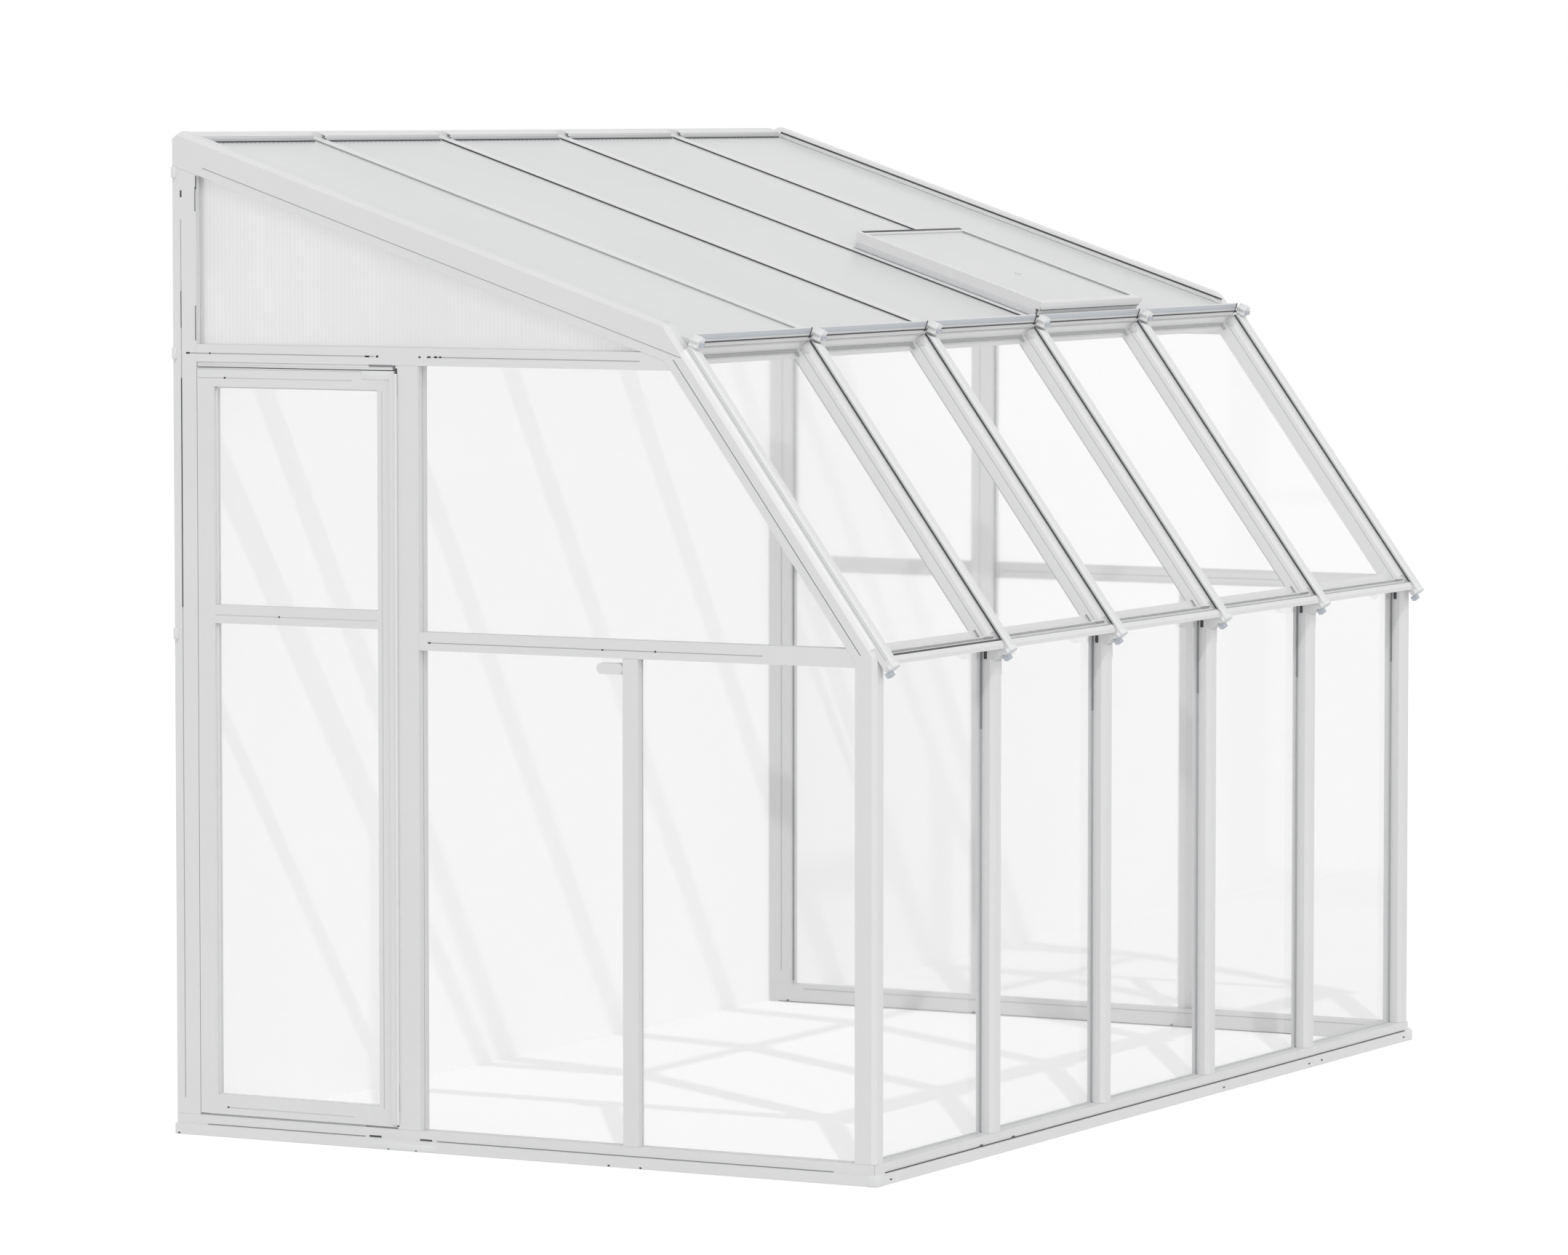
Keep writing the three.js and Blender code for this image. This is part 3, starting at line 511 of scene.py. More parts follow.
def addShoulder(r, side):
    bpy.ops.object.select_all(action="DESELECT")
    length = r["span"][1] - r["span"][0]
    bpy.ops.mesh.primitive_cylinder_add(vertices=r["edges"], radius=1, depth=length * mm,
                                        rotation=(math.radians(90), 0, 0))
    obj = bpy.context.object
    settle(obj)
    obj.scale = (r["reach"] * mm, 1, r["height"] * mm)
    obj.location = (side * r["middle"] * mm, (r["span"][0] + length / 2) * mm, r["axis"] * mm)
    settle(obj)
    bpy.ops.object.mode_set(mode="EDIT")
    bpy.ops.mesh.select_all(action="SELECT")
    bpy.ops.mesh.bisect(plane_co=(0, 0, r["cutBelow"] * mm), plane_no=(0, 0, 1),
                        use_fill=True, clear_inner=True)
    bpy.ops.mesh.select_all(action="SELECT")
    bpy.ops.mesh.bisect(plane_co=(side * r["middle"] * mm, 0, 0), plane_no=(side, 0, 0),
                        use_fill=True, clear_inner=True)
    leaveEdit()
    return obj


def addShoulders(r):
    sides = {"rib_shoulder_left": -1, "rib_shoulder_right": 1}
    pair = {kind: putOn(addShoulder(r, side), f"{kind}_1", "window", paintedHighlightVinyl,
                        smooth=r["smooth"]) for kind, side in sides.items()}
    for kind, first in pair.items():
        copyToRibs(first, kind, paintedHighlightVinyl)


# Grey lines on the ribs and their cover strips that paint the shade in their grooves, and a patch
# that paints shade on the first cover's right half, each measured from the middle of its rib
ribLine = {
    "edge": 0.2,
    "coverRight": ((15.8, 16.4), (-905, -12), (68.6, 69.8)),
    "coverLeft": ((-16.4, -15.8), (-905, -12), (72.2, 73.4)),
    "firstGroove": ((-22.35, -21.8), (-858, -12), (20.8, 22.8)),
    "firstCoverGroove": ((-16.4, -15.8), (-905, -12), (66.2, 67.4)),
    "firstCoverPaintedShade": ((3, 15.4), (-905, -12), (72.8, 73.4)),
    "groove": ((-22.35, -21.8), (-858, -12), (32.6, 34.8)),
    "innerGroove": ((-23.4, -22), (-826, -24), (6.2, 8.6)),
}


def addRibLines(r):
    last = len(ribX) - 1
    for i, x in enumerate(ribX):
        line = lambda name, mat, *parts: addBars(
            f"{name}_{i + 1}", "window", mat, [beside(x, r[part]) for part in parts],
            edge=r["edge"])
        line("cover_edge_line", paleLipAndShadeLine, *(["coverRight"] if i < last else []), "coverLeft")
        if i == 0:
            line("rib_groove", brushAndGrooveShade, "firstGroove")
            line("cover_groove", greyLipAndGrooveShade, "firstCoverGroove")
            # Painted shade on the right half of the first cover strip's top
            line("cover_painted_shade", paleLipAndShadeLine, "firstCoverPaintedShade")
        else:
            line("rib_groove", greyLipAndGrooveShade, "groove", *(["innerGroove"] if i < last else []))


addShoulders(ribShoulder)
addRibLines(ribLine)
print("rib trim ready")

# Crown-shaped collars that close the feet and the upper ends of the cover strips
footCap = {
    "teeth": 9,
    "outer": 20,
    "inner": 18,
    "axisHeight": 66,
    "flatten": 0.9,
    "span": (-928, -917),
}
kneeCap = {
    "teeth": 6,
    "outer": 21,
    "inner": 14.5,
    "axisHeight": 66,
    "flatten": 0.84,
    "span": (-72, -46),
}
capFace = {
    "toothPoints": 4,  # two points on a tooth and two in the gap beside it
    "rim": 4,
    "swell": 1.18,
    "well": 3,
    "sink": 0.8,
    "softEdge": 0.8,
    "smooth": 30,
}


def addCrown(c, face):
    bpy.ops.object.select_all(action="DESELECT")
    depth = (c["span"][1] - c["span"][0]) * mm
    count = c["teeth"] * face["toothPoints"]
    bpy.ops.mesh.primitive_cylinder_add(vertices=count, radius=c["outer"] * mm, depth=depth,
                                        rotation=(math.radians(90), 0, 0))
    obj = bpy.context.object
    settle(obj)
    step = 2 * math.pi / count
    inGap = lambda v: round(math.atan2(v.co.z, v.co.x) / step) % face["toothPoints"] in (0, 1)
    pickElements(obj, "VERT", inGap)
    small = c["inner"] / c["outer"]
    bpy.ops.transform.resize(value=(small, 1, small), center_override=(0, 0, 0))
    leaveEdit()
    pickElements(obj, "FACE", lambda f: abs(f.normal.y) > 0.9)
    bpy.ops.mesh.inset(thickness=face["rim"] * mm)
    bpy.ops.transform.resize(value=(1, face["swell"], 1), center_override=(0, 0, 0))
    bpy.ops.mesh.inset(thickness=face["well"] * mm)
    bpy.ops.transform.resize(value=(1, face["sink"], 1), center_override=(0, 0, 0))
    leaveEdit()
    obj.scale = (1, 1, c["flatten"])
    obj.location = (0, (c["span"][0] + c["span"][1]) / 2 * mm, c["axisHeight"] * mm)
    settle(obj)
    softenEdges(obj, face["softEdge"])
    return obj


def addCaps():
    for kind, cap, plane in (("foot_cap", footCap, "window"), ("knee_cap", kneeCap, "roof")):
        first = putOn(addCrown(cap, capFace), f"{kind}_1", plane, mouldedWhite,
                      smooth=capFace["smooth"])
        copyToRibs(first, kind, mouldedWhite)


# Clips below the collars, dark grey pieces in the inner corners at the knee and seals at the
# channel's ends
footClip = {
    "size": ((-10, 10), (-939, -926), (42, 58)),
    "softEdge": 1,
    "taper": 0.72,
    "rim": 2,
    "dent": 2,
}
kneeClip = {
    "size": ((-9, 9), (-78, -72), (58, 70)),
    "softEdge": 2,
    "taper": 1,
    "rim": 3,
    "dent": 2,
}
kneeCorner = {
    "bracket": (((-50, -22.2), (-13, -7.4), (18, 26)), ((-30, -22.2), (-26, -12), (17.4, 24))),
    "bracketEdge": 1.5,
    "seal": (((-27.5, -24.8), (-49.4, -46.4), (60, 84)), ((-31, -21), (-50, -44.5), (57, 62))),
    "sealEdge": 1,
}


def addClip(name, plane, x, c):
    clip = addBar(*beside(x, c["size"]), c["softEdge"])
    pickElements(clip, "FACE", lambda f: f.normal.y < -0.9)
    if c["taper"] < 1:
        bpy.ops.transform.resize(value=(c["taper"], 1, c["taper"]))
    bpy.ops.mesh.inset(thickness=c["rim"] * mm)
    bpy.ops.transform.translate(value=(0, c["dent"] * mm, 0))
    leaveEdit()
    putOn(clip, name, plane, clipGrey, smooth=20)


def addClips(corner):
    for i, x in enumerate(ribX):
        addClip(f"foot_clip_{i + 1}", "window", x, footClip)
        addClip(f"knee_clip_{i + 1}", "roof", x, kneeClip)
        if i:
            addBars(f"knee_corner_bracket_{i + 1}", "window", brushAndGrooveShade,
                    [beside(x, part) for part in corner["bracket"]], edge=corner["bracketEdge"])
            addBars(f"channel_end_seal_{i + 1}", "roof", gasketAndShadowBlack,
                    [beside(x, part) for part in corner["seal"]], edge=corner["sealEdge"])


addCaps()
addClips(kneeCorner)
print("caps ready")

# Roof: lines beside the rafters, the dark ones painting the shadow at the cover strips' edges,
# foil tape on the channel, strips and a black joint at the ridge
roofTrim = {
    "ventRibs": (3, 4),  # the ribs to the left and right of the vent
    "ventTop": 556,
    "seam": ((-24.6, -22.2), (-40, 1436), (64, 67.4)),
    "lip": ((22.2, 24.6), (-40, 1436), (64, 67.4)),
    "vergeNear": ((22.2, 24), (0, 1436), (64, 66)),
    "vergeFar": ((-23.6, -22.2), (0, 1436), (64, 65.4)),
    "vergeFarLip": ((-23, -21.7), (0, 1436), (75.5, 80)),
    "rafterEdge": 23,
    "tape": {"inset": (0, 0), "along": (-47.6, -46.9), "height": (67.6, 81.2)},
    "ridgeGasket": {"inset": (3, 12), "along": (1431, 1434.6), "height": (64.2, 66.4)},
    "ridgeFiller": {"inset": (1, 10), "along": (1432.6, 1437), "height": (66.8, 71.4)},
    "ridgeTop": {"inset": (-6, 16), "along": (1436, 1455), "height": (77, 79.4)},
    "ridgeFront": {"inset": (-6, 16), "along": (1436, 1438.6), "height": (71.6, 77.2)},
    "ticks": 26,  # open ends of the roof sheet's flutes that show in the ridge joint
    "tickEnds": (14, 26),
    "tick": ((-1.4, 1.4), (1423, 1431), (63.9, 65)),
}


# A seam on the vent's side of a rib starts above the vent
def seamAt(x, spans, aboveVent):
    across, along, height = spans
    return beside(x, (across, (roofTrim["ventTop"], along[1]) if aboveVent else along, height))


def addRoofTrim(r):
    ventLeft, ventRight = r["ventRibs"]
    for i in range(1, house["bays"]):
        # The dark line beside each rafter paints the shadow at the cover strip's edge
        addBars(f"roof_cover_shadow_{i + 1}", "roof", gasketAndShadowBlack if i > 1 else greyLipAndGrooveShade,
                [seamAt(ribX[i], r["seam"], i == ventRight)])
        addBars(f"roof_lip_{i + 1}", "roof", paleLipAndShadeLine, [seamAt(ribX[i], r["lip"], i == ventLeft)])
    addBars("verge_seam_door_end", "roof", paleLipAndShadeLine, [beside(ribX[0], r["vergeNear"])])
    addBars("verge_seam_far_end", "roof", greyLipAndGrooveShade, [beside(ribX[-1], r["vergeFar"])])
    addBars("verge_lip_far_end", "roof", gasketAndShadowBlack, [beside(ribX[-1], r["vergeFarLip"])])
    for bay in range(house["bays"]):
        left, right = ribX[bay] + r["rafterEdge"], ribX[bay + 1] - r["rafterEdge"]
        across = lambda *parts: [acrossBay(bay, r["rafterEdge"], r[part]) for part in parts]
        addBars(f"channel_tape_{bay + 1}", "roof", tapeFoil, across("tape"), edge=0.2)
        addBars(f"ridge_gasket_{bay + 1}", "roof", gasketAndShadowBlack, across("ridgeGasket"))
        addBars(f"ridge_filler_{bay + 1}", "roof", paleLipAndShadeLine, across("ridgeFiller"))
        addBars(f"ridge_strip_{bay + 1}", "roof", vinylX, across("ridgeTop", "ridgeFront"))
        first, last = left + r["tickEnds"][0], right - r["tickEnds"][1]
        pitch = (last - first) / (r["ticks"] - 1)
        ticks = [beside(first + k * pitch, r["tick"]) for k in range(r["ticks"])]
        addBars(f"ridge_tick_{bay + 1}", "roof", greyLipAndGrooveShade, ticks, edge=0.3)


addRoofTrim(roofTrim)
print("roof trim ready")

# Vent: brush strips down its sides, black strips that paint the shadow gaps at its hinge and below
# its front edge, its front edge, a knob and hinge covers
ventTrim = {
    "sides": (319.5, 910.5),
    "brushLeft": ((-2.6, -0.2), (-26, 524), (71, 85)),
    "brushRight": ((0.2, 2.6), (-26, 524), (71, 85)),
    "headShadow": {"inset": (24, 4), "along": (522, 532), "height": (107, 112.4)},
    "fasciaTop": {"inset": (-3, -3), "along": (-39, -33), "height": (96, 111.8)},
    "fasciaFoot": {"inset": (4, 4), "along": (-37, -33), "height": (91, 97)},
    "fasciaEdge": 1.2,
    "frontBrush": {"inset": (4, 4), "along": (-34, -29), "height": (74, 90.4)},
    "frontShadowLine": {"inset": (3, 3), "along": (-37.6, -34.4), "height": (89.6, 91.4)},
    "lidLine": ((-21, -19), (-14, 511), (107.4, 111.4)),
    "covers": (372, 534, 696, 858),
    "cover": ((-14, 14), (529, 545), (64.5, 82)),
    "coverEdge": 4,
}
ventKnob = {
    "place": (608, 188, 108.2),
    "radius": 8,
    "height": 4,
    "points": 24,
    "waist": 0.3,  # the next four are shares of the radius or the height
    "head": 0.4,
    "dish": 0.25,
    "dishDepth": 0.2,
    "softEdge": 0.08,
}


def addKnob(k):
    bpy.ops.object.select_all(action="DESELECT")
    radius, height = k["radius"], k["height"]
    bpy.ops.mesh.primitive_cylinder_add(vertices=k["points"], radius=radius * mm,
                                        depth=height * mm, location=[v * mm for v in k["place"]])
    obj = bpy.context.object
    settle(obj)
    pickElements(obj, "FACE", lambda f: f.normal.z > 0.9)
    bpy.ops.mesh.inset(thickness=radius * k["waist"] * mm)
    bpy.ops.mesh.extrude_region_move(
        TRANSFORM_OT_translate={"value": (0, 0, height * k["head"] * mm)})
    bpy.ops.mesh.inset(thickness=radius * k["dish"] * mm)
    bpy.ops.transform.translate(value=(0, 0, -height * k["dishDepth"] * mm))
    leaveEdit()
    softenEdges(obj, radius * k["softEdge"])
    putOn(obj, "vent_knob", "roof", mouldedWhite, "vent")


def addVentTrim(v):
    left, right = v["sides"]
    across = lambda part: box((left + v[part]["inset"][0], right - v[part]["inset"][1]),
                              v[part]["along"], v[part]["height"])
    addBars("vent_brush_left", "roof", paleBrush, [beside(left, v["brushLeft"])], "vent")
    addBars("vent_brush_right", "roof", brushAndGrooveShade, [beside(right, v["brushRight"])], "vent")
    # A black strip that paints the shadow gap behind the lid at its hinge
    addBars("vent_head_shadow", "roof", gasketAndShadowBlack, [across("headShadow")], "vent")
    addBars("vent_front_fascia", "roof", vinylX, [across("fasciaTop"), across("fasciaFoot")],
            "vent", v["fasciaEdge"])
    addBars("vent_front_brush", "roof", paleBrush, [across("frontBrush")], "vent")
    # A black line that paints the shadow gap below the lid's front edge
    addBars("vent_front_shadow_line", "roof", gasketAndShadowBlack, [across("frontShadowLine")], "vent")
    addKnob(ventKnob)
    addBars("vent_lid_line", "roof", greyLipAndGrooveShade, [beside(right, v["lidLine"])], "vent", edge=0.3)
    addBars("vent_hinge_covers", "roof", mouldedWhite,
            [beside(x, v["cover"]) for x in v["covers"]], edge=v["coverEdge"])


addVentTrim(ventTrim)
print("vent trim ready")

# Front: seal lines beside the posts whose grey also paints the shade in the gap beside the panes,
# clips at their heads, a black line that paints the shadow in the base step, and slots above it.
# The first spans of the post parts are measured from the post's side or from its middle.
frontTrim = {
    "postSide": 22,
    "gasket": ((-8, -0.1), (-1909.6, -1907.1), (51, 1030)),
    "gasketHead": ((-8, -0.1), (-1909.8, -1907.1), (1030, 1219)),
    "headClip": ((-1.6, 0.4), (-1922, -1914), (1199, 1217)),
    "edgeMark": ((16.5, 20.8), (-1940.4, -1936), (1160, 1200)),
    "bead": {"inset": (0, 0), "along": (-1909.6, -1907.1), "height": (49.8, 54)},
    "beadEdge": 22.5,
    "joint": ((-1512, 1536), (-1944.4, -1941.8), (25.6, 28.2)),
    "slotsAt": (-1010, -838),
    "slot": ((-7, 7), (-1943.4, -1941.2), (28, 31.5)),
    "dotsAt": (-1498, 361, 894, 975, 1516),
    "dotRise": 0.4,  # each dot stands this much higher than the one before
    "dot": ((-5, 5), (-1951, -1949.6), (8.5, 12)),
    "farCorner": (((1540, 1570.5), (-1951.5, -1925), (0.5, 26.6)),
                  ((1552, 1563), (-1949, -1925), (26, 33))),
    "doorCorner": (((-1570.5, -1540), (-1951.5, -1925), (0.5, 26.6)),),
    "cornerEdge": 1.2,
}


def addFrontTrim(f):
    last = len(ribX) - 1
    for i, x in enumerate(ribX):
        side = x - f["postSide"]
        if i:
            # The seal line's grey also paints the shade in the gap beside the pane
            addBars(f"post_gasket_{i + 1}", "wall", greyLipAndGrooveShade, [beside(side, f["gasket"])], edge=0.6)
            addBars(f"post_gasket_head_{i + 1}", "wall", brushAndGrooveShade,
                    [beside(side, f["gasketHead"])], edge=0.6)
            addBars(f"post_head_clip_{i + 1}", "wall", gasketAndShadowBlack,
                    [beside(side, f["headClip"])], edge=0.6)
        if 0 < i < last:
            addBars(f"post_edge_mark_{i + 1}", "wall", greyLipAndGrooveShade,
                    [beside(x, f["edgeMark"])], edge=0.8)
    addBars("front_pane_beads", "wall", paleLipAndShadeLine, [
        acrossBay(bay, f["beadEdge"], f["bead"]) for bay in range(house["bays"])])
    # A black line that paints the shadow in the base step
    addBars("base_step_shadow_line", "wall", gasketAndShadowBlack, [box(*f["joint"])])
    slots = [beside(x, f["slot"]) for x in f["slotsAt"]]
    across, along, height = f["dot"]
    for k, x in enumerate(f["dotsAt"]):
        rise = k * f["dotRise"]
        slots.append(beside(x, (across, along, (height[0] + rise, height[1] + rise))))
    addBars("base_front_slots", "wall", gasketAndShadowBlack, slots, edge=0.4)
    addBars("base_corner_cap_far_end", "wall", mouldedWhite,
            [box(*part) for part in f["farCorner"]], edge=f["cornerEdge"])
    addBars("base_corner_cap_door_end", "wall", mouldedWhite,
            [box(*part) for part in f["doorCorner"]], edge=f["cornerEdge"])


addFrontTrim(frontTrim)
print("front trim ready")

# Door-end gable: drain slots, lugs, and grey lines that paint the shade in the grooves of its
# members. A spot on the face is given by its span from the house wall and its span in height.
gableTrim = {
    "face": -1559.5,
    "proud": 0.45,
    "sunk": 0.3,
    "lineEdge": 0.2,
    "baseGrooves": ((-89, -542, 26.4, 28.4), (-745, -1830, 26.4, 28.4)),
    "notchX": (-1569.9, -1569.2),
    "notches": ((-14, -8, 0.8, 4.6), (-616, -610, 0.8, 4.6), (-694, -688, 0.8, 4.6),
                (-1231, -1225, 0.8, 4.6), (-1318, -1312, 0.8, 4.6)),
    "postGroove": ((-22.6, -24.8, 90, 2250),),
    "postSlots": ((-21.8, -25.2, 1300, 1862), (-22, -24.6, 1985, 2075),
                  (-63.4, -66.6, 1955, 2040), (-63.4, -66.6, 2270, 2330)),
    "headGrooves": ((-40, -575, 1922.8, 1925.2), (-740, -1310, 1923, 1925.4)),
    "midGroove": ((-722, -1640, 1235.4, 1237.4),),
    "drainSlots": (
        (-554, -588, 26.6, 31), (-697, -731, 26.4, 30.4), (-37, -48, 1922, 1926),
        (-104, -109, 1922.4, 1926), (-549, -562, 1921.4, 1925.6), (-580, -587, 1921.2, 1926.4),
        (-700, -706, 1921.6, 1926.2), (-724, -734, 1922.2, 1926.8), (-744, -752, 1922.4, 1927),
        (-758, -764, 1922.6, 1927), (-725, -731, 1234, 1238.4), (-1205, -1210, 1234, 1238),
        (-1349, -1354, 1234.6, 1239), (-21.6, -26.6, 2304, 2321), (-66, -69, 2324, 2356)),
    "vergeGroove": ((-40, 1366), (20.4, 22.6)),
    "vergeLines": (((-12, -10.6), (20, 1420), (86.8, 87.4)), ((8, 9.4), (20, 1420), (86.8, 87.4))),
    "sillSeal": ((-67, -544, 50.2, 53),),
    "connector": ((-10.6, -9.6), (-748, -557), (3, 17)),
    "lugX": (-8, 1),
    "lugs": ((-12, -0.6, 1909, 1937), (-12, -0.6, 2352, 2378), (-12, -0.6, 1221, 1249)),
    "lugEdge": 1.6,
}


def addGableTrim(g):
    skin = (g["face"] - g["proud"], g["face"] + g["sunk"])
    drawn = lambda name, mat, part: addBars(
        name, "wall", mat, onFace(skin, g[part]), edge=g["lineEdge"])
    drawn("gable_groove_base", brushAndGrooveShade, "baseGrooves")
    addBars("base_notches", "wall", gasketAndShadowBlack, onFace(g["notchX"], g["notches"]),
            edge=g["lineEdge"])
    drawn("gable_groove_post", greyLipAndGrooveShade, "postGroove")
    drawn("gable_post_slots", brushAndGrooveShade, "postSlots")
    drawn("gable_groove_head", greyLipAndGrooveShade, "headGrooves")
    drawn("gable_groove_mid", greyLipAndGrooveShade, "midGroove")
    drawn("gable_drain_slots", gasketAndShadowBlack, "drainSlots")
    addBars("gable_groove_verge", "roof", greyLipAndGrooveShade, [box(skin, *g["vergeGroove"])],
            edge=g["lineEdge"])
    addBars("verge_line", "roof", paleLipAndShadeLine, [beside(ribX[0], part) for part in g["vergeLines"]],
            edge=g["lineEdge"])
    addBars("sill_gap_seal", "wall", greyLipAndGrooveShade, onFace(skin, g["sillSeal"]), edge=0.3)
    addBars("base_connector_plate", "wall", mouldedWhite, [beside(g["face"], g["connector"])],
            edge=0.4)
    lugX = (skin[0] + g["lugX"][0], skin[1] + g["lugX"][1])
    addBars("wall_lugs", "wall", mouldedWhite, onFace(lugX, g["lugs"]), edge=g["lugEdge"])


addGableTrim(gableTrim)
print("gable trim ready")

# Far-end gable, seen from inside: grey lines that paint the shade in the grooves on its members,
# and the lips that hold its panes
farTrim = {
    "proud": 0.4,
    "sunk": 0.3,
    "inner": 1515.5,
    "grooves": ((-38, -40.2, 90, 1880), (-110, -1830, 38.4, 40.6), (-660, -662, 70, 1880)),
    "rail": 1540,
    "railGroove": ((-722, -1640, 1236, 1238),),
    "lipX": (1531.1, 1535.3),
    "lips": ((-70.2, -67.2, 60, 1892), (-701.2, -698.2, 60, 1892)),
    "baseJoint": ((-30, -1620, 0.6, 2.6), (-56, -64, 2, 7), (-640, -648, 2, 7),
                  (-1250, -1258, 2, 7)),
}


def addFarTrim(f):
    skinOn = lambda x: (x - f["proud"], x + f["sunk"])
    addBars("far_grooves", "wall", greyLipAndGrooveShade,
            onFace(skinOn(f["inner"]), f["grooves"]) + onFace(skinOn(f["rail"]), f["railGroove"]),
            edge=0.2)
    addBars("far_pane_lips", "wall", brushAndGrooveShade, onFace(f["lipX"], f["lips"]))
    addBars("far_base_joint", "wall", gasketAndShadowBlack, onFace(skinOn(f["inner"]), f["baseJoint"]),
            edge=0.2)


addFarTrim(farTrim)
print("far end trim ready")

# Door: the stop behind its head, grey lines that paint the shade in the grooves on its frame,
# slots on its frame, the flap and wedge on its hinge side, and the bead around its pane
doorTrim = {
    "face": -1559.5,
    "proud": 0.5,
    "sunk": 0.3,
    "stop": (((-1529, -1517), (-634, -68), (1876, 1902.8)),
             ((-1557.4, -1528), (-625, -68.4), (1891, 1902.8)),
             ((-1558.6, -1556), (-610, -68.4), (1896.4, 1899))),
    "headGasket": ((-1560.1, -1557), (-626, -560), (1899.6, 1904)),
    "lines": {
        "door_groove_top": ((-72, -545, 1885.4, 1887.2), (-72, -512, 1863.4, 1865.6)),
        "door_groove_bottom": ((-148, -511, 71.4, 73.6),),
        "door_groove_stile": ((-595, -597.2, 96, 1840),),
        "door_groove_mid": ((-118, -582, 1283.6, 1285.4),),
    },
    "slots": ((-146, -151, 1862.6, 1867), (-146, -151, 70.6, 75), (-300, -304, 1282.4, 1286.8)),
    "flap": ((-1.6, 0.2), (-630, -541), (1868, 1888)),
    "wedge": (((-1, 0.2), (-640, -635), (1826, 1896)), ((-0.6, 0.2), (-640, -635), (92, 160)),
              ((-0.6, 0.2), (-638, -635), (56, 93))),
    "beadX": (-1550.6, -1546.8),
    "beads": ((-584, -580, 101.4, 1264.6), (-121, -117, 101.4, 1264.6),
              (-584, -580, 1310, 1843), (-121, -117, 1310, 1843),
              (-584, -117, 101.4, 105.4), (-584, -117, 1839.6, 1843.6)),
}


def addDoorTrim(d):
    skin = (d["face"] - d["proud"], d["face"] + d["sunk"])
    addBars("door_head_stop", "wall", vinylY, [box(*part) for part in d["stop"]],
            edge=1)
    addBars("door_head_gasket", "wall", brushAndGrooveShade, [box(*d["headGasket"])])
    for name, spots in d["lines"].items():
        addBars(name, "wall", paleLipAndShadeLine, onFace(skin, spots), "door", edge=0.2)
    addBars("door_slots", "wall", gasketAndShadowBlack, onFace(skin, d["slots"]), "door", edge=0.2)
    addBars("door_corner_flap", "wall", mouldedWhite, [beside(d["face"], d["flap"])], "door")
    addBars("door_hinge_wedge", "wall", gasketAndShadowBlack,
            [beside(d["face"], part) for part in d["wedge"]], edge=0.3)
    addBars("door_pane_bead", "wall", mouldedWhite, onFace(d["beadX"], d["beads"]), "door", edge=1)


addDoorTrim(doorTrim)
print("door trim ready")

light = {
    "sky": 0.66,
    "lamps": {
        "keySun": {"energy": 0.65, "angle": 0.7, "towards": (0.767, 0.49, -1.0)},
        "frontFill": {"energy": 0.42, "angle": 70, "towards": (0.05, 1.0, -0.12)},
        "sideFill": {"energy": 0.34, "angle": 50, "towards": (0.8, 0.6, -0.08)},
    },
}


# The world lights the object as a soft sky, and is white to the eye, in gloss and behind glass
def addWorld():
    world = bpy.data.worlds.new("studioWorld")
    scene.world = world
    world.use_nodes = True
    tree = world.node_tree
    tree.nodes.clear()
    out = addNode(tree, "ShaderNodeOutputWorld")
    path = addNode(tree, "ShaderNodeLightPath")
    seen = addNode(tree, "ShaderNodeMath", {"operation": "MAXIMUM"},
                   {0: path.outputs["Is Camera Ray"], 1: path.outputs["Is Glossy Ray"]})
    seenToo = addNode(tree, "ShaderNodeMath", {"operation": "MAXIMUM"},
                      {0: seen.outputs[0], 1: path.outputs["Is Transmission Ray"]})
    lit = addNode(tree, "ShaderNodeBackground", {"Color": (1, 1, 1, 1), "Strength": light["sky"]})
    white = addNode(tree, "ShaderNodeBackground", {"Color": (1, 1, 1, 1), "Strength": 1})
    mix = addNode(tree, "ShaderNodeMixShader", None,
                  {0: seenToo.outputs[0], 1: lit.outputs[0], 2: white.outputs[0]})
    tree.links.new(mix.outputs[0], out.inputs["Surface"])


def addLamps():
    for name, lamp in light["lamps"].items():
        data = bpy.data.lights.new(name, "SUN")
        data.energy = lamp["energy"]
        data.angle = math.radians(lamp["angle"])
        obj = bpy.data.objects.new(name, data)
        scene.collection.objects.link(obj)
        obj.rotation_mode = "QUATERNION"
        obj.rotation_quaternion = Vector(lamp["towards"]).to_track_quat("-Z", "Y")


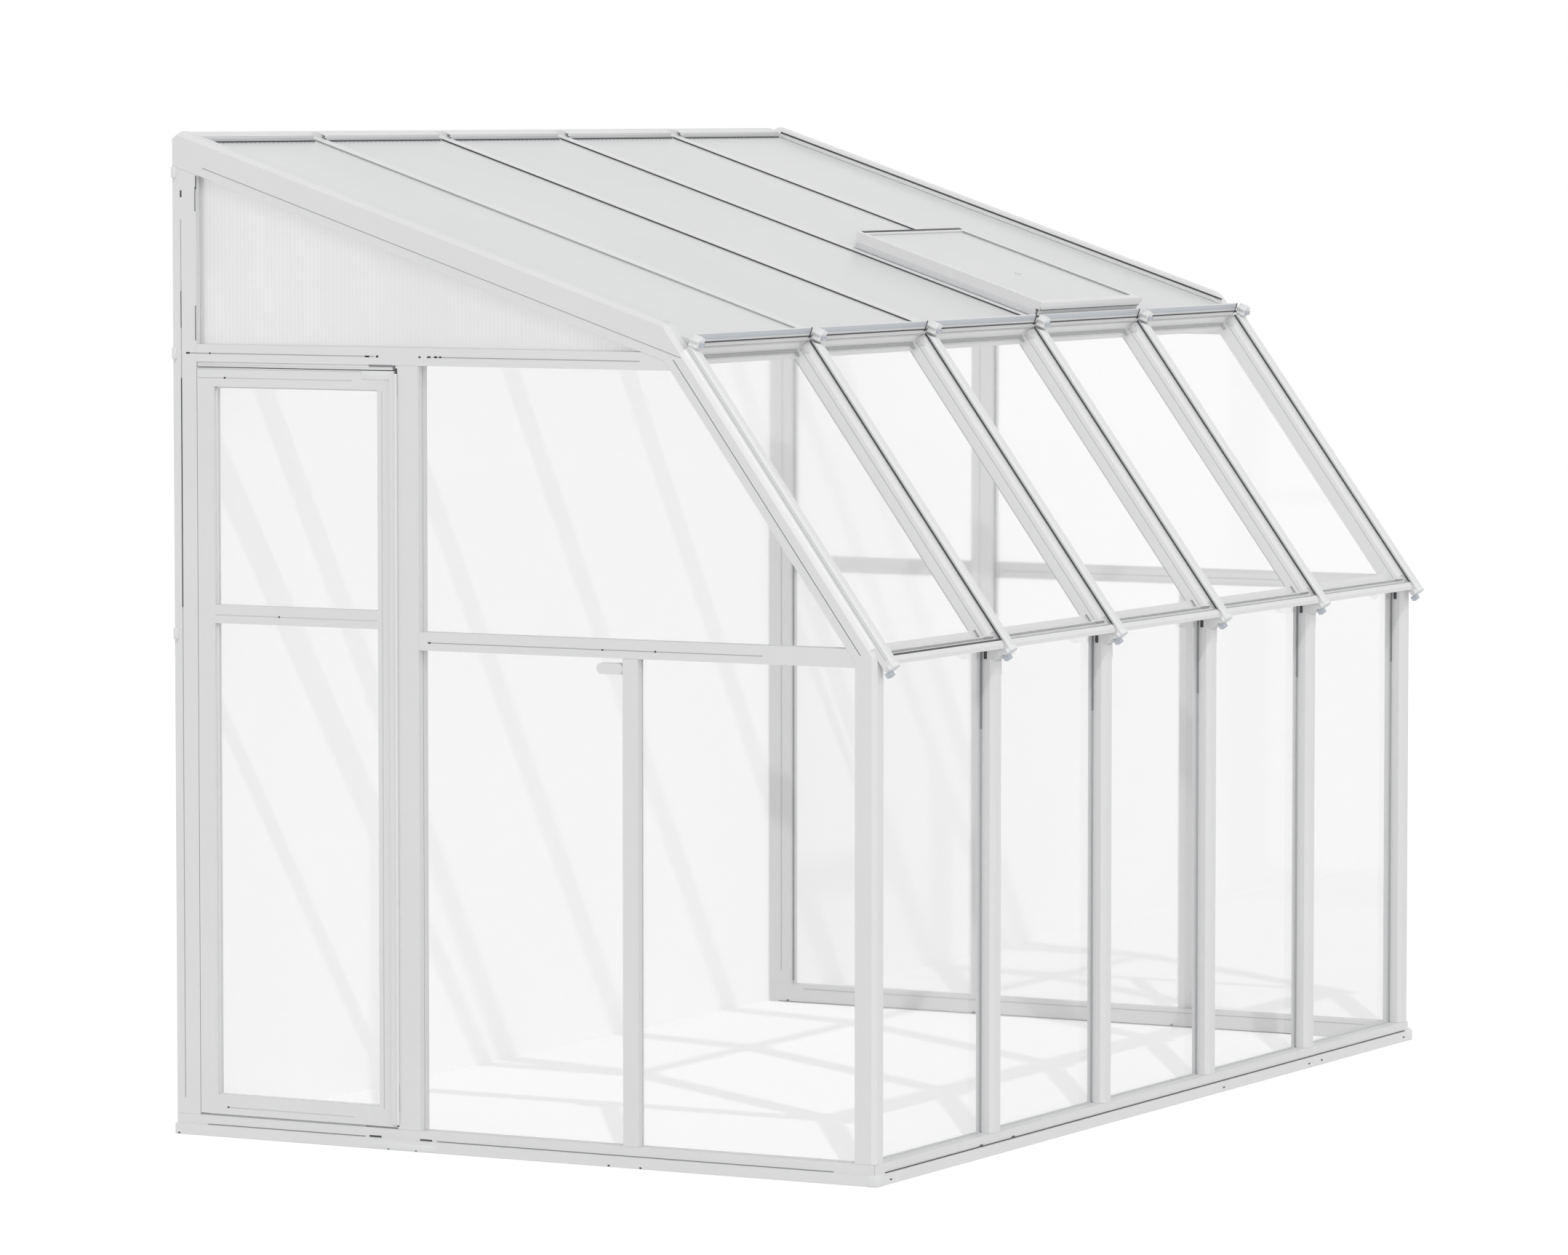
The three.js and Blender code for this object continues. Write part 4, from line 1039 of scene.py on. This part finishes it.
studio = {
    "white": "#F0F0F0",
    "floorGlow": 0.3,
    "floorSize": 60,
    "floorDrop": 0.0005,
    "wallGlow": 0.27,
    "wallSize": (9.5, 3.2),
    "wallMiddle": (3.2, 0.9965, 1.6),
}


# A white studio surface: plain matt, lifted to white for the eye and behind glass, and shadowed
def studioWhite(name, glowLevel):
    mat, tree, out = newMaterial(name)
    path = addNode(tree, "ShaderNodeLightPath")
    matt = addNode(tree, "ShaderNodeBsdfDiffuse", {"Color": linear(studio["white"])})
    seen = addNode(tree, "ShaderNodeMath", {"operation": "MAXIMUM"},
                   {0: path.outputs["Is Camera Ray"], 1: path.outputs["Is Transmission Ray"]})
    level = addNode(tree, "ShaderNodeMath", {"operation": "MULTIPLY", 1: glowLevel},
                    {0: seen.outputs[0]})
    glow = addNode(tree, "ShaderNodeEmission", {"Color": (1, 1, 1, 1)},
                   {"Strength": level.outputs[0]})
    both = addNode(tree, "ShaderNodeAddShader", None, {0: matt.outputs[0], 1: glow.outputs[0]})
    tree.links.new(both.outputs[0], out.inputs["Surface"])
    return mat, tree, out, both, path


def addFloor(s):
    bpy.ops.object.select_all(action="DESELECT")
    bpy.ops.mesh.primitive_plane_add(size=s["floorSize"], location=(0, 0, -s["floorDrop"]))
    floor = bpy.context.object
    floor.name = "studioFloor"
    paint(floor, studioWhite("paleFloor", s["floorGlow"])[0])


# The house wall shows only through a pane, with the shadows of the bars on it
def addHouseWall(s):
    bpy.ops.object.select_all(action="DESELECT")
    bpy.ops.mesh.primitive_plane_add(size=1, location=s["wallMiddle"],
                                     rotation=(math.radians(90), 0, 0))
    wall = bpy.context.object
    wall.name = "houseWall"
    wall.scale = (*s["wallSize"], 1)
    mat, tree, out, shader, path = studioWhite("paintedWall", s["wallGlow"])
    clear = addNode(tree, "ShaderNodeBsdfTransparent")
    mix = addNode(tree, "ShaderNodeMixShader", None,
                  {0: path.outputs["Is Transmission Ray"], 1: clear.outputs[0],
                   2: shader.outputs[0]})
    tree.links.new(mix.outputs[0], out.inputs["Surface"])
    paint(wall, mat)


addWorld()
addLamps()
addFloor(studio)
addHouseWall(studio)
print("light and floor ready")
